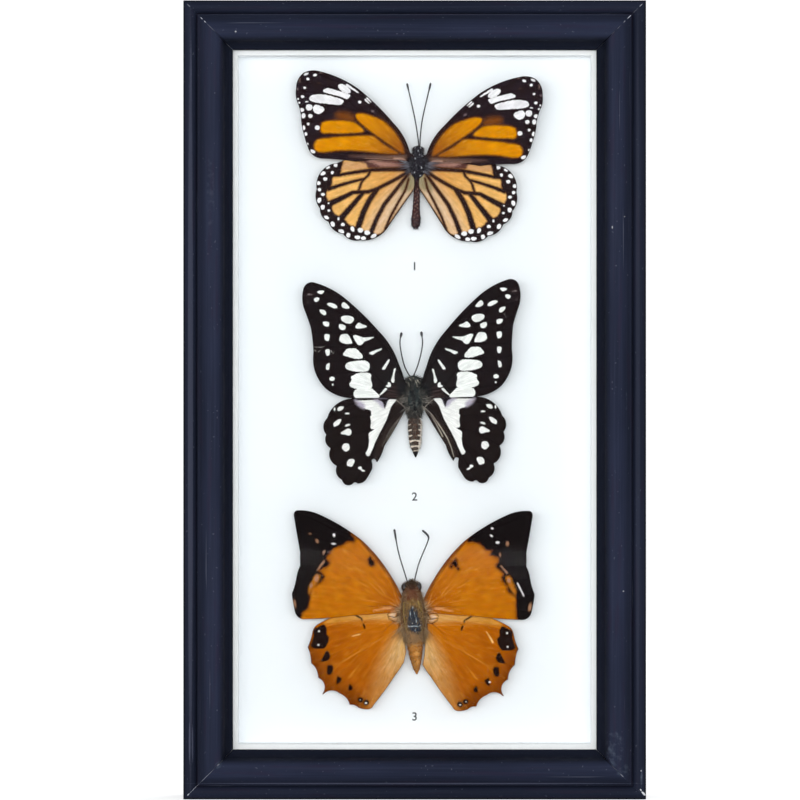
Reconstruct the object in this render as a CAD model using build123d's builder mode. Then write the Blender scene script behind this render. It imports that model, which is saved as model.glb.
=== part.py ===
from build123d import *
import os

# Butterfly display case: a mitred wooden moulding with a glass front, white spacer fillets,
# a white card with three spread butterflies, and a hardboard back with a swinging ring hanger.
# +X is right, +Z is up, the glass looks along -Y. The origin is under the middle of the case.
# "Height" h is measured from the plane of the frame's back towards the viewer.

os.makedirs("parts", exist_ok=True)

# ---- case -----------------------------------------------------------------------------------
case_width = 150.0
case_height = 259.0
face_width = 16.0  # moulding from its outer edge to the sight edge
rabbet_width = 6.0  # how far the sight lip covers the glass
rabbet_clearance = 0.5  # glass, card and board in the rabbet, each side
back_recess = 4.0  # frame's back plane to the backing board
board_thickness = 2.5
card_thickness = 1.0
chamber_depth = 10.5  # card to glass
glass_thickness = 2.0
lip_thickness = 2.2  # wood in front of the glass at the sight edge
crown_rise = 5.8  # crown of the moulding above the sight lip
bead_drop = 2.0  # outer bead below the crown
bead_width = 4.4
bead_radius = 2.3
groove_width = 0.5
groove_drop = 3.7  # groove below the crown
land_width = 0.4  # flat land between the groove and the crown's rise
land_drop = 2.0  # land below the crown's top
crown_top = 10.3  # highest line of the crown, from the outer edge
crown_end = 13.2  # crown runs in to here
crown_end_drop = 2.4
slope_end = 14.8  # steep slope runs in to here
slope_hollow = 0.3
lip_round = 0.4  # lip's rounded edge, above and below the lip's face
lip_bulge = 0.2
spacer_show = 1.5  # white fillet seen inside the sight edge

# ---- fixings --------------------------------------------------------------------------------
point_width = 6.0
point_reach = 6.0  # over the board, and as far into the wood
point_tip = 3.0
point_thickness = 0.6
point_pitch_stile = 80.0
point_pitch_rail = 60.0
points_per_stile = 3
points_per_rail = 2
nail_leg = 3.5
nail_thickness = 0.6
nail_depth = 8.0
nail_insets = (3.2, 6.2)  # each corner's two nails, from the outer edges

# ---- hanger ---------------------------------------------------------------------------------
wire_radius = 0.8
hinge_clearance = 0.08
strap_gauge = 0.6
strap_width = 7.0
strap_tail = 9.5
strap_corner = 2.3
hanger_drop = 35.0  # hinge line below the top of the case
ring_half_width = 7.5  # wire centre line
ring_corner = 1.8
ring_leg = 9.0
rivet_radius = 1.2
rivet_head_radius = 2.2
rivet_head_rise = 0.9
rivet_head_round = 0.7
rivet_drop = 6.0  # below the hinge line
rivet_clearance = 0.1
flange_radius = 2.0
flange_thickness = 0.6

# ---- specimens ------------------------------------------------------------------------------
membrane = 0.3  # wing thickness between the veins
vein_rise = 0.15
vein_width = 0.45
wing_gap = 0.3  # forewing clear of the hindwing behind it
wing_height = 5.0  # hindwing's back above the card
body_clearance = 0.9  # thorax above the card
seat_clearance = 0.1  # wing root to the thorax
antenna_radius = 0.24
antenna_sides = 8
dab_radius = 2.4
dab_top_radius = 1.6
upper_drop = 36.8  # upper specimen's middle below the top of the sight opening
middle_rise = 0.05  # middle specimen's middle above the case's
lower_rise = 43.4  # lower specimen's middle above the bottom of the sight opening
label_width = 36.0
label_height = 6.0
label_thickness = 0.15
ring_pinch = 0.88  # an abdomen ring's narrow end to its full radius
ring_shoulder = 0.15  # share of a ring's length in each sloping end
club_taper = 0.6  # a club's tip to its full radius

# ---- what follows from them -----------------------------------------------------------------
board_front = back_recess + board_thickness
card_front = board_front + card_thickness
glass_back = card_front + chamber_depth
ledge = glass_back + glass_thickness
lip_front = ledge + lip_thickness
crown = lip_front + crown_rise
case_depth = crown
back_y = case_depth / 2
rabbet_inset = face_width - rabbet_width
opening_width = case_width - 2 * rabbet_inset
opening_height = case_height - 2 * rabbet_inset
mid_z = case_height / 2


def facing(h, x=0.0, z=0.0, turn=0.0):
    """Plane parallel to the glass at height h, as the viewer sees it, turned anticlockwise."""
    across = Vector(1, 0, 0).rotate(Axis.Y, -turn)
    return Plane(origin=(x, back_y - h, z), x_dir=across, z_dir=(0, -1, 0))


def edge_planes(width, height, h):
    """The four edges of a centred rectangle: local x runs inward, local y to the viewer."""
    y = back_y - h
    return {
        "top": (Plane(origin=(0, y, mid_z + height / 2), x_dir=(0, 0, -1), z_dir=(-1, 0, 0)), width),
        "bottom": (Plane(origin=(0, y, mid_z - height / 2), x_dir=(0, 0, 1), z_dir=(1, 0, 0)), width),
        "left": (Plane(origin=(-width / 2, y, mid_z), x_dir=(1, 0, 0), z_dir=(0, 0, -1)), height),
        "right": (Plane(origin=(width / 2, y, mid_z), x_dir=(-1, 0, 0), z_dir=(0, 0, 1)), height),
    }


def mitred_length(section, edge, length):
    """A length of section along an edge plane, cut at 45 degrees at both ends."""
    with BuildPart() as piece:
        with BuildSketch(edge):
            add(section)
        extrude(amount=length / 2, both=True)
        for end in (1, -1):
            corner = edge.origin + edge.z_dir * (end * length / 2)
            mitre = Plane(origin=corner, z_dir=edge.z_dir * end + edge.x_dir)
            split(bisect_by=mitre, keep=Keep.BOTTOM)
    return piece.part


def save(part, name):
    part.label = name
    export_step(part, "parts/" + name + ".step")


# ---- glass, card, board: plain sheets in the rabbet ------------------------------------------
sheet_width = opening_width - 2 * rabbet_clearance
sheet_height = opening_height - 2 * rabbet_clearance

with BuildPart() as glass_pane:
    with BuildSketch(facing(glass_back, 0, mid_z)):
        Rectangle(sheet_width, sheet_height)
    extrude(amount=glass_thickness)
save(glass_pane.part, "glass_pane")

with BuildPart() as mount_card:
    with BuildSketch(facing(board_front, 0, mid_z)):
        Rectangle(sheet_width, sheet_height)
    extrude(amount=card_thickness)
save(mount_card.part, "mount_card")

# ---- ring hanger: riveted strap, folded round the ring's straight bar -------------------------
loop_bore = wire_radius + hinge_clearance
loop_radius = loop_bore + strap_gauge
hinge_z = case_height - hanger_drop
hinge_h = back_recess - loop_radius
rivet_z = hinge_z - rivet_drop
strap_fold = 2 * strap_gauge  # two layers pressed flat

with BuildPart() as backing_board:
    with BuildSketch(facing(back_recess, 0, mid_z)):
        Rectangle(sheet_width, sheet_height)
    extrude(amount=board_thickness)
    with BuildSketch(facing(back_recess, 0, rivet_z)):
        Circle(rivet_radius + rivet_clearance)
    extrude(amount=board_thickness, mode=Mode.SUBTRACT)
    with BuildSketch(facing(board_front, 0, rivet_z)):
        Circle(flange_radius + rivet_clearance)
    extrude(amount=-flange_thickness, mode=Mode.SUBTRACT)
save(backing_board.part, "backing_board")

with BuildPart() as hanger_strap:
    side = Plane(origin=(0, back_y - hinge_h, hinge_z), x_dir=(0, -1, 0), z_dir=(-1, 0, 0))
    with BuildSketch(side):
        Circle(loop_radius)
        with Locations((loop_radius - strap_fold, -strap_tail)):
            Rectangle(strap_fold, strap_tail, align=(Align.MIN, Align.MIN))
        Circle(loop_bore, mode=Mode.SUBTRACT)
    extrude(amount=strap_width / 2, both=True)
    with BuildSketch(facing(back_recess, 0, rivet_z)):
        Circle(rivet_radius + rivet_clearance)
    extrude(amount=-strap_fold, mode=Mode.SUBTRACT)
    tail_corners = hanger_strap.edges().filter_by(Axis.Y).group_by(Axis.Z)[0]
    fillet(tail_corners, radius=strap_corner)
save(hanger_strap.part, "hanger_strap")

with BuildPart() as hanger_rivet:
    with BuildSketch(facing(back_recess - strap_fold, 0, rivet_z)):
        Circle(rivet_radius)
    extrude(amount=strap_fold + board_thickness)
    with BuildSketch(facing(board_front, 0, rivet_z)):
        Circle(flange_radius)
    extrude(amount=-flange_thickness)
    with BuildSketch(facing(back_recess - strap_fold, 0, rivet_z)):
        Circle(rivet_head_radius)
    extrude(amount=-rivet_head_rise)
    head_rim = hanger_rivet.faces().sort_by(Axis.Y)[-1].edges()
    fillet(head_rim, radius=rivet_head_round)
save(hanger_rivet.part, "hanger_rivet")

# The ring hangs down: straight bar in the loop, two legs and a half-round end.
with BuildPart() as hanger_ring:
    with BuildLine(facing(hinge_h, 0, hinge_z)) as ring_line:
        Line((-ring_half_width + ring_corner, 0), (ring_half_width - ring_corner, 0))
        RadiusArc(
            (ring_half_width - ring_corner, 0), (ring_half_width, -ring_corner), ring_corner
        )
        Line((ring_half_width, -ring_corner), (ring_half_width, -ring_leg))
        ThreePointArc(
            (ring_half_width, -ring_leg),
            (0, -ring_leg - ring_half_width),
            (-ring_half_width, -ring_leg),
        )
        Line((-ring_half_width, -ring_leg), (-ring_half_width, -ring_corner))
        RadiusArc(
            (-ring_half_width, -ring_corner), (-ring_half_width + ring_corner, 0), ring_corner
        )
    with BuildSketch(Plane(origin=(0, back_y - hinge_h, hinge_z), z_dir=(1, 0, 0))):
        Circle(wire_radius)
    sweep(path=ring_line.line)
save(hanger_ring.part, "hanger_ring")

# ---- flat points that hold the board in, and V-nails across the mitres -------------------------
rabbet_edges = edge_planes(opening_width, opening_height, 0)
point_places = {
    "top": (points_per_rail, point_pitch_rail),
    "bottom": (points_per_rail, point_pitch_rail),
    "left": (points_per_stile, point_pitch_stile),
    "right": (points_per_stile, point_pitch_stile),
}

with BuildPart() as framing_points:
    for side_name, (count, pitch) in point_places.items():
        edge = rabbet_edges[side_name][0]
        flat = Plane(
            origin=edge.origin + edge.y_dir * back_recess, x_dir=edge.x_dir, z_dir=edge.y_dir
        )
        with BuildSketch(flat):
            with GridLocations(0, pitch, 1, count):
                Polygon(
                    (-point_reach, 0),
                    (-point_reach + point_tip, -point_width / 2),
                    (point_reach, -point_width / 2),
                    (point_reach, point_width / 2),
                    (-point_reach + point_tip, point_width / 2),
                    align=None,
                )
        extrude(amount=-point_thickness)
save(framing_points.part, "framing_points")

with BuildPart() as corner_v_nails:
    for across in (-1, 1):
        for up in (-1, 1):
            for inset in nail_insets:
                with BuildSketch(facing(0, 0, mid_z)):
                    apex_x = across * (case_width / 2 - inset)
                    apex_z = up * (case_height / 2 - inset)
                    with Locations((apex_x - across * nail_leg / 2, apex_z)):
                        Rectangle(nail_leg + nail_thickness, nail_thickness)
                    with Locations((apex_x, apex_z - up * nail_leg / 2)):
                        Rectangle(nail_thickness, nail_leg + nail_thickness)
                extrude(amount=nail_depth)
save(corner_v_nails.part, "corner_v_nails")

# ---- moulding: outer bead, quirk, narrow land, crown highest near the glass, steep slope, lip ---
bead_top = crown - bead_drop
bead_centre = bead_top - bead_radius
bead_end = bead_centre + (bead_radius**2 - (bead_width - bead_radius) ** 2) ** 0.5
land_start = bead_width + groove_width
land_end = land_start + land_width
with BuildSketch() as moulding_section:
    with BuildLine():
        Line((0, 0), (0, bead_centre))
        ThreePointArc((0, bead_centre), (bead_radius, bead_top), (bead_width, bead_end))
        Line((bead_width, bead_end), (bead_width, crown - groove_drop))
        Line((bead_width, crown - groove_drop), (land_start, crown - groove_drop))
        Line((land_start, crown - groove_drop), (land_start, crown - land_drop))
        Line((land_start, crown - land_drop), (land_end, crown - land_drop))
        TangentArc((crown_top, crown), (land_end, crown - land_drop), tangent=(-1, 0))
        TangentArc((crown_top, crown), (crown_end, crown - crown_end_drop), tangent=(1, 0))
        SagittaArc(
            (crown_end, crown - crown_end_drop), (slope_end, lip_front + lip_round), -slope_hollow
        )
        SagittaArc(
            (slope_end, lip_front + lip_round), (face_width, lip_front - lip_round), lip_bulge
        )
        Line((face_width, lip_front - lip_round), (face_width, ledge))
        Line((face_width, ledge), (rabbet_inset, ledge))
        Line((rabbet_inset, ledge), (rabbet_inset, 0))
        Line((rabbet_inset, 0), (0, 0))
    make_face()

rail_names = {
    "top": "top_rail",
    "bottom": "bottom_rail",
    "left": "left_stile",
    "right": "right_stile",
}
for side_name, (edge, length) in edge_planes(case_width, case_height, 0).items():
    with BuildPart() as rail:
        add(mitred_length(moulding_section.sketch, edge, length))
        add(framing_points.part, mode=Mode.SUBTRACT)
        add(corner_v_nails.part, mode=Mode.SUBTRACT)
    save(rail.part, rail_names[side_name])

# ---- spacer fillets: white mitred strips between the card and the glass ------------------------
spacer_width = rabbet_width - rabbet_clearance + spacer_show
with BuildSketch() as spacer_section:
    Rectangle(spacer_width, chamber_depth, align=(Align.MIN, Align.MIN))
for side_name, (edge, length) in edge_planes(sheet_width, sheet_height, card_front).items():
    save(mitred_length(spacer_section.sketch, edge, length), side_name + "_spacer")

# ---- butterflies ------------------------------------------------------------------------------
# Wing outlines run clockwise from the root along the leading edge, as the right wings lie, in
# mm from the specimen's middle. Each row is x, z and how far the arc to the next point bulges
# outward. Vein rows are the points of one vein each, from the root side to the margin.

# Upper specimen: rounded wings with a softly waved margin.
upper_forewing = (
    (0.6, 1.8, 0.0),
    (2.4, 2.6, 0.85),
    (8.3, 12.6, 0.4),
    (20.0, 23.2, 0.7),
    (33.0, 28.5, 0.45),
    (38.0, 27.9, 0.75),
    (40.4, 22.5, 0.25),
    (40.0, 18.6, -0.2),
    (38.45, 13.5, 0.25),
    (37.2, 7.5, 0.1),
    (35.8, 3.5, 0.95),
    (31.0, 0.1, -0.2),
    (20.0, -0.5, 0.0),
    (14.0, 0.4, 0.0),
    (0.6, 0.4, 0.0),
)
upper_forewing_veins = (
    ((2.4, 3.6), (9.5, 12.9), (20.5, 22.3), (33.0, 27.6)),
    ((2.4, 3.2), (7.1, 8.4), (11.0, 12.2), (15.6, 15.4), (20.4, 16.6)),
    ((20.4, 16.6), (20.1, 13.8), (14.9, 9.7), (10.4, 6.8), (2.4, 2.2)),
    ((18.0, 16.0), (22.4, 21.4), (26.6, 22.6), (33.1, 24.4), (39.5, 25.2)),
    ((20.4, 16.6), (24.0, 19.8), (31.2, 21.1), (40.0, 22.0)),
    ((20.3, 15.8), (25.0, 17.4), (35.0, 17.2), (39.7, 17.5)),
    ((20.2, 14.8), (26.6, 15.2), (31.8, 14.6), (38.7, 14.6)),
    ((20.1, 13.8), (22.1, 12.8), (26.6, 12.5), (38.0, 11.8)),
    ((14.9, 9.7), (17.5, 8.5), (23.4, 8.2), (37.2, 7.8)),
    ((2.4, 1.4), (13.6, 2.2), (23.4, 2.3), (35.4, 2.6)),
)
upper_hindwing = (
    (0.6, -0.8, 0.6),
    (8.0, 1.6, 0.5),
    (18.0, 2.4, 0.3),
    (25.5, -0.2, 2.4),
    (31.9, -9.0, 0.8),
    (30.6, -15.2, 0.85),
    (27.6, -19.5, 0.95),
    (22.7, -23.3, 0.9),
    (17.0, -25.1, 0.55),
    (11.0, -23.5, 0.3),
    (8.0, -20.2, 0.0),
    (0.25, -8.0, 0.3),
    (0.3, -4.0, 0.0),
)
upper_hindwing_veins = (
    ((2.0, -1.2), (14.0, -2.0), (22.0, -3.5), (31.0, -5.6)),
    ((2.0, -2.2), (9.0, -6.3), (15.0, -9.2), (20.0, -9.6), (25.0, -12.3), (31.2, -15.0)),
    ((14.7, -2.1), (16.5, -5.0), (18.3, -9.3)),
    ((16.5, -5.0), (24.0, -7.3), (31.9, -9.2)),
    ((16.8, -9.8), (21.0, -15.0), (27.2, -19.2)),
    ((12.5, -8.6), (16.3, -16.0), (19.4, -24.6)),
    ((2.0, -3.4), (6.0, -8.5), (11.5, -18.0), (14.0, -24.3)),
    ((1.6, -4.0), (2.9, -8.0), (7.5, -17.0), (9.4, -21.6)),
)

# Middle specimen: narrow, pointed forewings and deeply scalloped hindwings.
middle_forewing = (
    (0.6, 3.6, 0.0),
    (2.0, 4.5, 0.2),
    (3.75, 11.0, 0.8),
    (10.0, 22.5, 0.3),
    (20.0, 33.2, 0.65),
    (30.0, 39.1, 0.9),
    (33.8, 37.4, 0.45),
    (34.0, 31.0, -0.05),
    (32.0, 24.6, -0.12),
    (31.5, 16.5, 0.25),
    (31.5, 11.0, 0.5),
    (28.0, 4.4, 0.7),
    (20.0, 1.0, 0.0),
    (8.0, 0.6, 0.0),
    (0.6, 0.8, 0.0),
)
middle_forewing_veins = (
    ((2.4, 5.6), (5.2, 12.5), (11.2, 22.6), (21.0, 33.0), (31.0, 38.3)),
    ((2.4, 5.0), (9.0, 17.6), (17.5, 26.4), (26.0, 32.8), (33.6, 36.4)),
    ((17.5, 26.4), (19.4, 23.0), (18.7, 18.2), (13.0, 9.4), (8.5, 3.4), (2.4, 1.8)),
    ((15.6, 24.6), (24.0, 29.4), (33.9, 32.6)),
    ((19.2, 24.6), (25.0, 25.0), (32.8, 27.6)),
    ((19.4, 22.4), (25.0, 22.6), (31.8, 23.2)),
    ((18.8, 18.4), (25.0, 18.2), (31.6, 18.6)),
    ((15.8, 13.6), (22.0, 13.4), (31.7, 13.9)),
    ((13.0, 9.4), (20.0, 9.2), (31.2, 9.4)),
    ((8.5, 3.4), (13.0, 3.9), (21.0, 4.0), (28.5, 5.0)),
)
middle_hindwing = (
    (0.6, 0.2, 0.4),
    (8.0, 2.4, 0.3),
    (15.0, 2.6, 0.3),
    (20.5, 1.0, 1.6),
    (28.4, -5.2, 1.1),
    (28.8, -10.5, 0.95),
    (27.5, -15.0, 1.3),
    (25.6, -20.8, 1.0),
    (24.0, -25.4, 1.25),
    (20.3, -26.5, -0.3),
    (19.0, -26.7, 0.6),
    (15.7, -24.8, 0.1),
    (13.7, -21.2, -0.15),
    (14.2, -19.2, -0.3),
    (13.0, -19.0, 0.0),
    (12.5, -20.0, 0.3),
    (10.0, -14.8, 0.15),
    (2.6, -2.6, 0.0),
)
middle_hindwing_veins = (
    ((2.6, -0.4), (8.0, 0.2), (20.0, -0.6), (28.2, -5.0)),
    ((8.2, -0.8), (13.0, -4.6), (20.0, -5.2), (28.6, -10.4)),
    ((8.2, -0.8), (10.2, -6.2), (13.2, -9.0), (20.0, -10.8), (27.3, -15.0)),
    ((10.2, -6.2), (14.6, -13.6), (25.4, -20.7)),
    ((14.6, -13.6), (23.8, -25.0)),
    ((2.6, -1.4), (8.6, -6.4), (13.4, -15.6), (20.0, -26.2)),
    ((3.0, -2.4), (7.5, -8.0), (11.0, -14.4), (12.8, -18.6)),
)

# Lower specimen: broad wings, hooked at the tip, with a toothed and tailed hindwing.
lower_forewing = (
    (1.2, 2.6, 0.0),
    (3.0, 3.5, 0.3),
    (7.1, 12.0, 0.6),
    (17.0, 24.2, 0.55),
    (31.3, 32.8, 0.4),
    (38.1, 33.9, 0.35),
    (39.1, 32.3, 0.05),
    (37.0, 20.1, 0.12),
    (37.0, 15.9, 0.2),
    (38.3, 11.8, -0.18),
    (39.75, 6.8, 0.1),
    (38.7, 0.7, 0.8),
    (35.1, -1.6, 0.2),
    (20.0, -0.4, 0.2),
    (1.2, 1.2, 0.0),
)
lower_forewing_veins = (
    ((3.6, 4.8), (8.2, 12.2), (18.0, 24.0), (31.8, 32.0)),
    ((3.6, 4.4), (9.0, 12.4), (14.5, 19.0), (25.0, 26.8), (37.6, 33.0)),
    ((14.5, 19.0), (17.4, 15.8), (17.8, 13.0), (11.0, 7.0), (3.6, 3.2)),
    ((15.6, 17.8), (27.0, 23.0), (38.0, 27.0)),
    ((17.2, 16.4), (27.0, 19.6), (37.2, 21.4)),
    ((17.6, 14.4), (27.0, 15.8), (36.9, 16.2)),
    ((16.8, 12.0), (27.0, 11.8), (38.1, 11.8)),
    ((11.0, 7.0), (22.0, 6.8), (39.4, 6.6)),
    ((3.6, 2.2), (12.0, 2.6), (24.0, 2.2), (38.6, 1.2)),
)
lower_hindwing = (
    (1.2, 0.6, 0.4),
    (8.0, 2.2, 0.2),
    (16.0, 2.2, 0.2),
    (22.0, 0.2, 0.3),
    (30.8, -3.4, 0.5),
    (33.0, -6.5, -0.15),
    (34.5, -11.1, -0.3),
    (33.4, -16.3, -0.65),
    (31.1, -21.1, -1.45),
    (29.8, -26.4, 0.0),
    (29.4, -26.5, -1.1),
    (24.1, -26.2, -0.65),
    (20.8, -29.9, -0.35),
    (18.0, -30.8, 0.15),
    (15.1, -31.4, 0.4),
    (13.0, -30.0, 0.15),
    (5.9, -20.2, 0.1),
    (3.1, -16.0, 0.0),
    (1.5, -8.0, 0.0),
)
lower_hindwing_veins = (
    ((3.8, 0.2), (10.0, 0.4), (20.0, -1.0), (32.6, -6.0)),
    ((3.8, -0.8), (10.5, -2.6), (17.0, -6.0), (24.0, -8.6), (34.0, -11.1)),
    ((17.0, -6.0), (17.6, -11.0), (8.0, -7.2), (3.8, -3.0)),
    ((17.3, -8.6), (24.0, -12.4), (33.0, -16.1)),
    ((17.6, -11.0), (23.0, -15.2), (30.8, -20.9)),
    ((15.8, -10.2), (20.5, -16.4), (29.0, -25.6)),
    ((8.0, -7.2), (14.0, -17.0), (20.8, -29.2)),
    ((3.8, -3.6), (7.5, -12.0), (17.6, -30.2)),
    ((3.6, -5.0), (5.6, -14.0), (13.6, -29.4)),
)

# Bodies: rows of distance along the body from the specimen's middle and radius there. The head
# and the thorax are round, the abdomen is a row of rings, each narrower where it meets the next.
specimens = {
    "upper": {
        "middle": (1.3, case_height - face_width - upper_drop),
        "lean": 1.8,
        "axis_x": -0.3,
        "head": ((6.3, 0.0), (4.9, 1.9), (3.5, 1.5)),
        "thorax": ((3.5, 1.5), (-0.6, 2.8), (-4.8, 0.95)),
        "abdomen": ((-4.8, 1.0), (-19.2, 1.4), (-21.2, 0.4)),
        "belly": 0.0,
        "rings": 7,
        "forewing": (upper_forewing, upper_forewing_veins),
        "hindwing": (upper_hindwing, upper_hindwing_veins),
        "roots": {1: (0.0, 0.0, 0.0), -1: (-0.4, 0.6, -2.2)},
        "hind_roots": {1: (0.0, 0.0, 0.0), -1: (-1.0, -0.3, -2.3)},
        "antennae": (
            ((0.1, 5.6), (-1.3, 15.6), (-3.8, 26.7)),
            ((0.4, 5.6), (1.4, 15.6), (4.0, 26.8)),
        ),
        "club": (2.6, 0.34),
        "bend": 60.0,
        "label_drop": 33.0,
    },
    "middle": {
        "middle": (0.16, mid_z + middle_rise),
        "lean": -1.5,
        "axis_x": -0.3,
        "head": ((8.0, 0.0), (6.4, 2.15), (4.8, 1.8)),
        "thorax": ((4.8, 1.8), (0.4, 3.1), (-4.6, 1.8)),
        "abdomen": ((-4.6, 1.9), (-16.6, 0.9), (-18.8, 0.3)),
        "belly": 0.75,
        "rings": 7,
        "forewing": (middle_forewing, middle_forewing_veins),
        "hindwing": (middle_hindwing, middle_hindwing_veins),
        "roots": {1: (0.0, 0.0, 0.0), -1: (-0.9, 0.4, 2.6)},
        "hind_roots": {1: (0.0, 0.0, 0.0), -1: (-0.4, -0.2, 1.3)},
        "antennae": (
            ((-1.4, 7.0), (-3.9, 12.0), (-4.9, 18.0), (-4.4, 22.0)),
            ((-0.6, 7.4), (1.4, 12.6), (2.4, 18.0), (2.0, 22.3)),
        ),
        "club": (1.8, 0.4),
        "bend": 8.0,
        "label_drop": 31.65,
    },
    "lower": {
        "middle": (-0.65, face_width + lower_rise),
        "lean": -3.5,
        "axis_x": 0.2,
        "head": ((11.2, 0.0), (8.9, 3.0), (6.8, 2.5)),
        "thorax": ((6.8, 2.5), (0.6, 4.2), (-8.0, 2.9)),
        "abdomen": ((-8.0, 3.1), (-17.2, 1.7), (-19.6, 0.4)),
        "belly": 0.4,
        "rings": 6,
        "forewing": (lower_forewing, lower_forewing_veins),
        "hindwing": (lower_hindwing, lower_hindwing_veins),
        "roots": {1: (0.0, 0.0, 0.0), -1: (0.4, 0.2, 0.0)},
        "hind_roots": {1: (0.0, 0.0, 0.0), -1: (0.3, 0.6, 0.0)},
        "antennae": (
            ((-1.4, 9.8), (-3.7, 17.0), (-6.0, 28.0)),
            ((0.4, 10.2), (2.0, 16.6), (5.3, 25.2), (3.1, 27.6)),
        ),
        "club": (2.4, 0.36),
        "bend": 1.2,
        "label_drop": 33.4,
    },
}


def body_solid(spec, growth=0.0, pinch=ring_pinch):
    """Head, thorax and ringed abdomen turned about the body's own leaning axis."""
    x, z = spec["middle"]
    h = card_front + body_clearance + max(radius for _, radius in spec["thorax"])
    seat = facing(h, x + spec["axis_x"], z, -spec["lean"])
    rings = spec["rings"]
    start, end, tip = spec["abdomen"]
    with BuildPart() as body:
        with BuildSketch(seat):
            with BuildLine():
                points = [(0, spec["head"][0][0] + growth)]
                points += [(radius + growth, along) for along, radius in spec["head"][1:]]
                ThreePointArc(*points)
                ThreePointArc(*[(radius + growth, along) for along, radius in spec["thorax"]])
                ringed = [(spec["thorax"][2][1] + growth, start[0])]
                for ring in range(rings):
                    for share, swell in ((ring_shoulder, 1.0), (1 - ring_shoulder, 1.0), (1.0, pinch)):
                        t = (ring + share) / rings
                        radius = start[1] + (end[1] - start[1]) * t
                        radius += spec["belly"] * 4 * t * (1 - t)
                        along = start[0] + (end[0] - start[0]) * t
                        ringed.append((radius * swell + growth, along))
                ringed.append((tip[1] + growth, tip[0]))
                ringed.append((0, tip[0] - growth))
                Polyline(*ringed)
                Line(ringed[-1], points[0])
            make_face()
        revolve(axis=Axis(seat.origin, seat.y_dir))
    return body.part


def wing_solid(outline, veins, side, plane):
    """Flat membrane with its veins standing on the front; side is 1 right, -1 left."""
    with BuildPart() as wing:
        with BuildSketch(plane):
            with BuildLine():
                rows = list(outline)
                for (x0, z0, bulge), (x1, z1, _) in zip(rows, rows[1:] + rows[:1]):
                    if bulge == 0:
                        Line((side * x0, z0), (side * x1, z1))
                    else:
                        SagittaArc((side * x0, z0), (side * x1, z1), side * bulge)
            make_face()
        extrude(amount=membrane)
        with BuildSketch(plane.offset(membrane)):
            for vein in veins:
                with BuildLine(mode=Mode.PRIVATE) as midrib:
                    Polyline(*[(side * x, z) for x, z in vein])
                trace(midrib.line, line_width=vein_width)
        extrude(amount=vein_rise)
    return wing.part


def antenna_solid(path_points, bend, club, plane):
    """A fine shaft with a longer, thicker club at its tip."""
    club_length, club_radius = club
    with BuildPart() as antenna:
        with BuildLine(plane) as shaft:
            FilletPolyline(*path_points, radius=bend)
        line = shaft.line
        with BuildSketch(Plane(origin=line @ 0, z_dir=line % 0)):
            RegularPolygon(antenna_radius, antenna_sides)
        sweep(path=line)
        tip = Plane(origin=line @ 1, z_dir=line % 1)
        for here, there in (((-club_length, antenna_radius), (-club_length / 2, club_radius)),
                            ((-club_length / 2, club_radius), (0.0, club_radius * club_taper))):
            with BuildSketch(tip.offset(here[0])):
                RegularPolygon(here[1], antenna_sides)
            with BuildSketch(tip.offset(there[0])):
                RegularPolygon(there[1], antenna_sides)
            loft()
    return antenna.part


for name, spec in specimens.items():
    x, z = spec["middle"]
    thorax_radius = max(radius for _, radius in spec["thorax"])
    body_h = card_front + body_clearance + thorax_radius
    hind_h = card_front + wing_height
    fore_h = hind_h + membrane + vein_rise + wing_gap
    body = body_solid(spec)
    shell = body_solid(spec, seat_clearance, 1.0)
    save(body, name + "_body")

    for wing_name, height, roots in (
        ("forewing", fore_h, spec["roots"]),
        ("hindwing", hind_h, spec["hind_roots"]),
    ):
        outline, veins = spec[wing_name]
        for side, side_name in ((1, "right"), (-1, "left")):
            shift_x, shift_z, turn = roots[side]
            plane = facing(height, x + shift_x, z + shift_z, turn)
            with BuildPart() as wing:
                add(wing_solid(outline, veins, side, plane))
                add(shell, mode=Mode.SUBTRACT)
            save(wing.part, name + "_" + side_name + "_" + wing_name)

    with BuildPart() as antennae:
        for path_points in spec["antennae"]:
            add(antenna_solid(path_points, spec["bend"], spec["club"], facing(body_h, x, z)))
        add(shell, mode=Mode.SUBTRACT)
    save(antennae.part, name + "_antennae")

    with BuildPart() as glue_dab:
        with BuildSketch(facing(card_front, x + spec["axis_x"], z)):
            Circle(dab_radius)
        with BuildSketch(facing(card_front + body_clearance, x + spec["axis_x"], z)):
            Circle(dab_top_radius)
        loft()
        add(shell, mode=Mode.SUBTRACT)
    save(glue_dab.part, name + "_glue_dab")

    with BuildPart() as label:
        with BuildSketch(facing(card_front, 0, z - spec["label_drop"])):
            Rectangle(label_width, label_height)
        extrude(amount=label_thickness)
    save(label.part, name + "_label")
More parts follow.
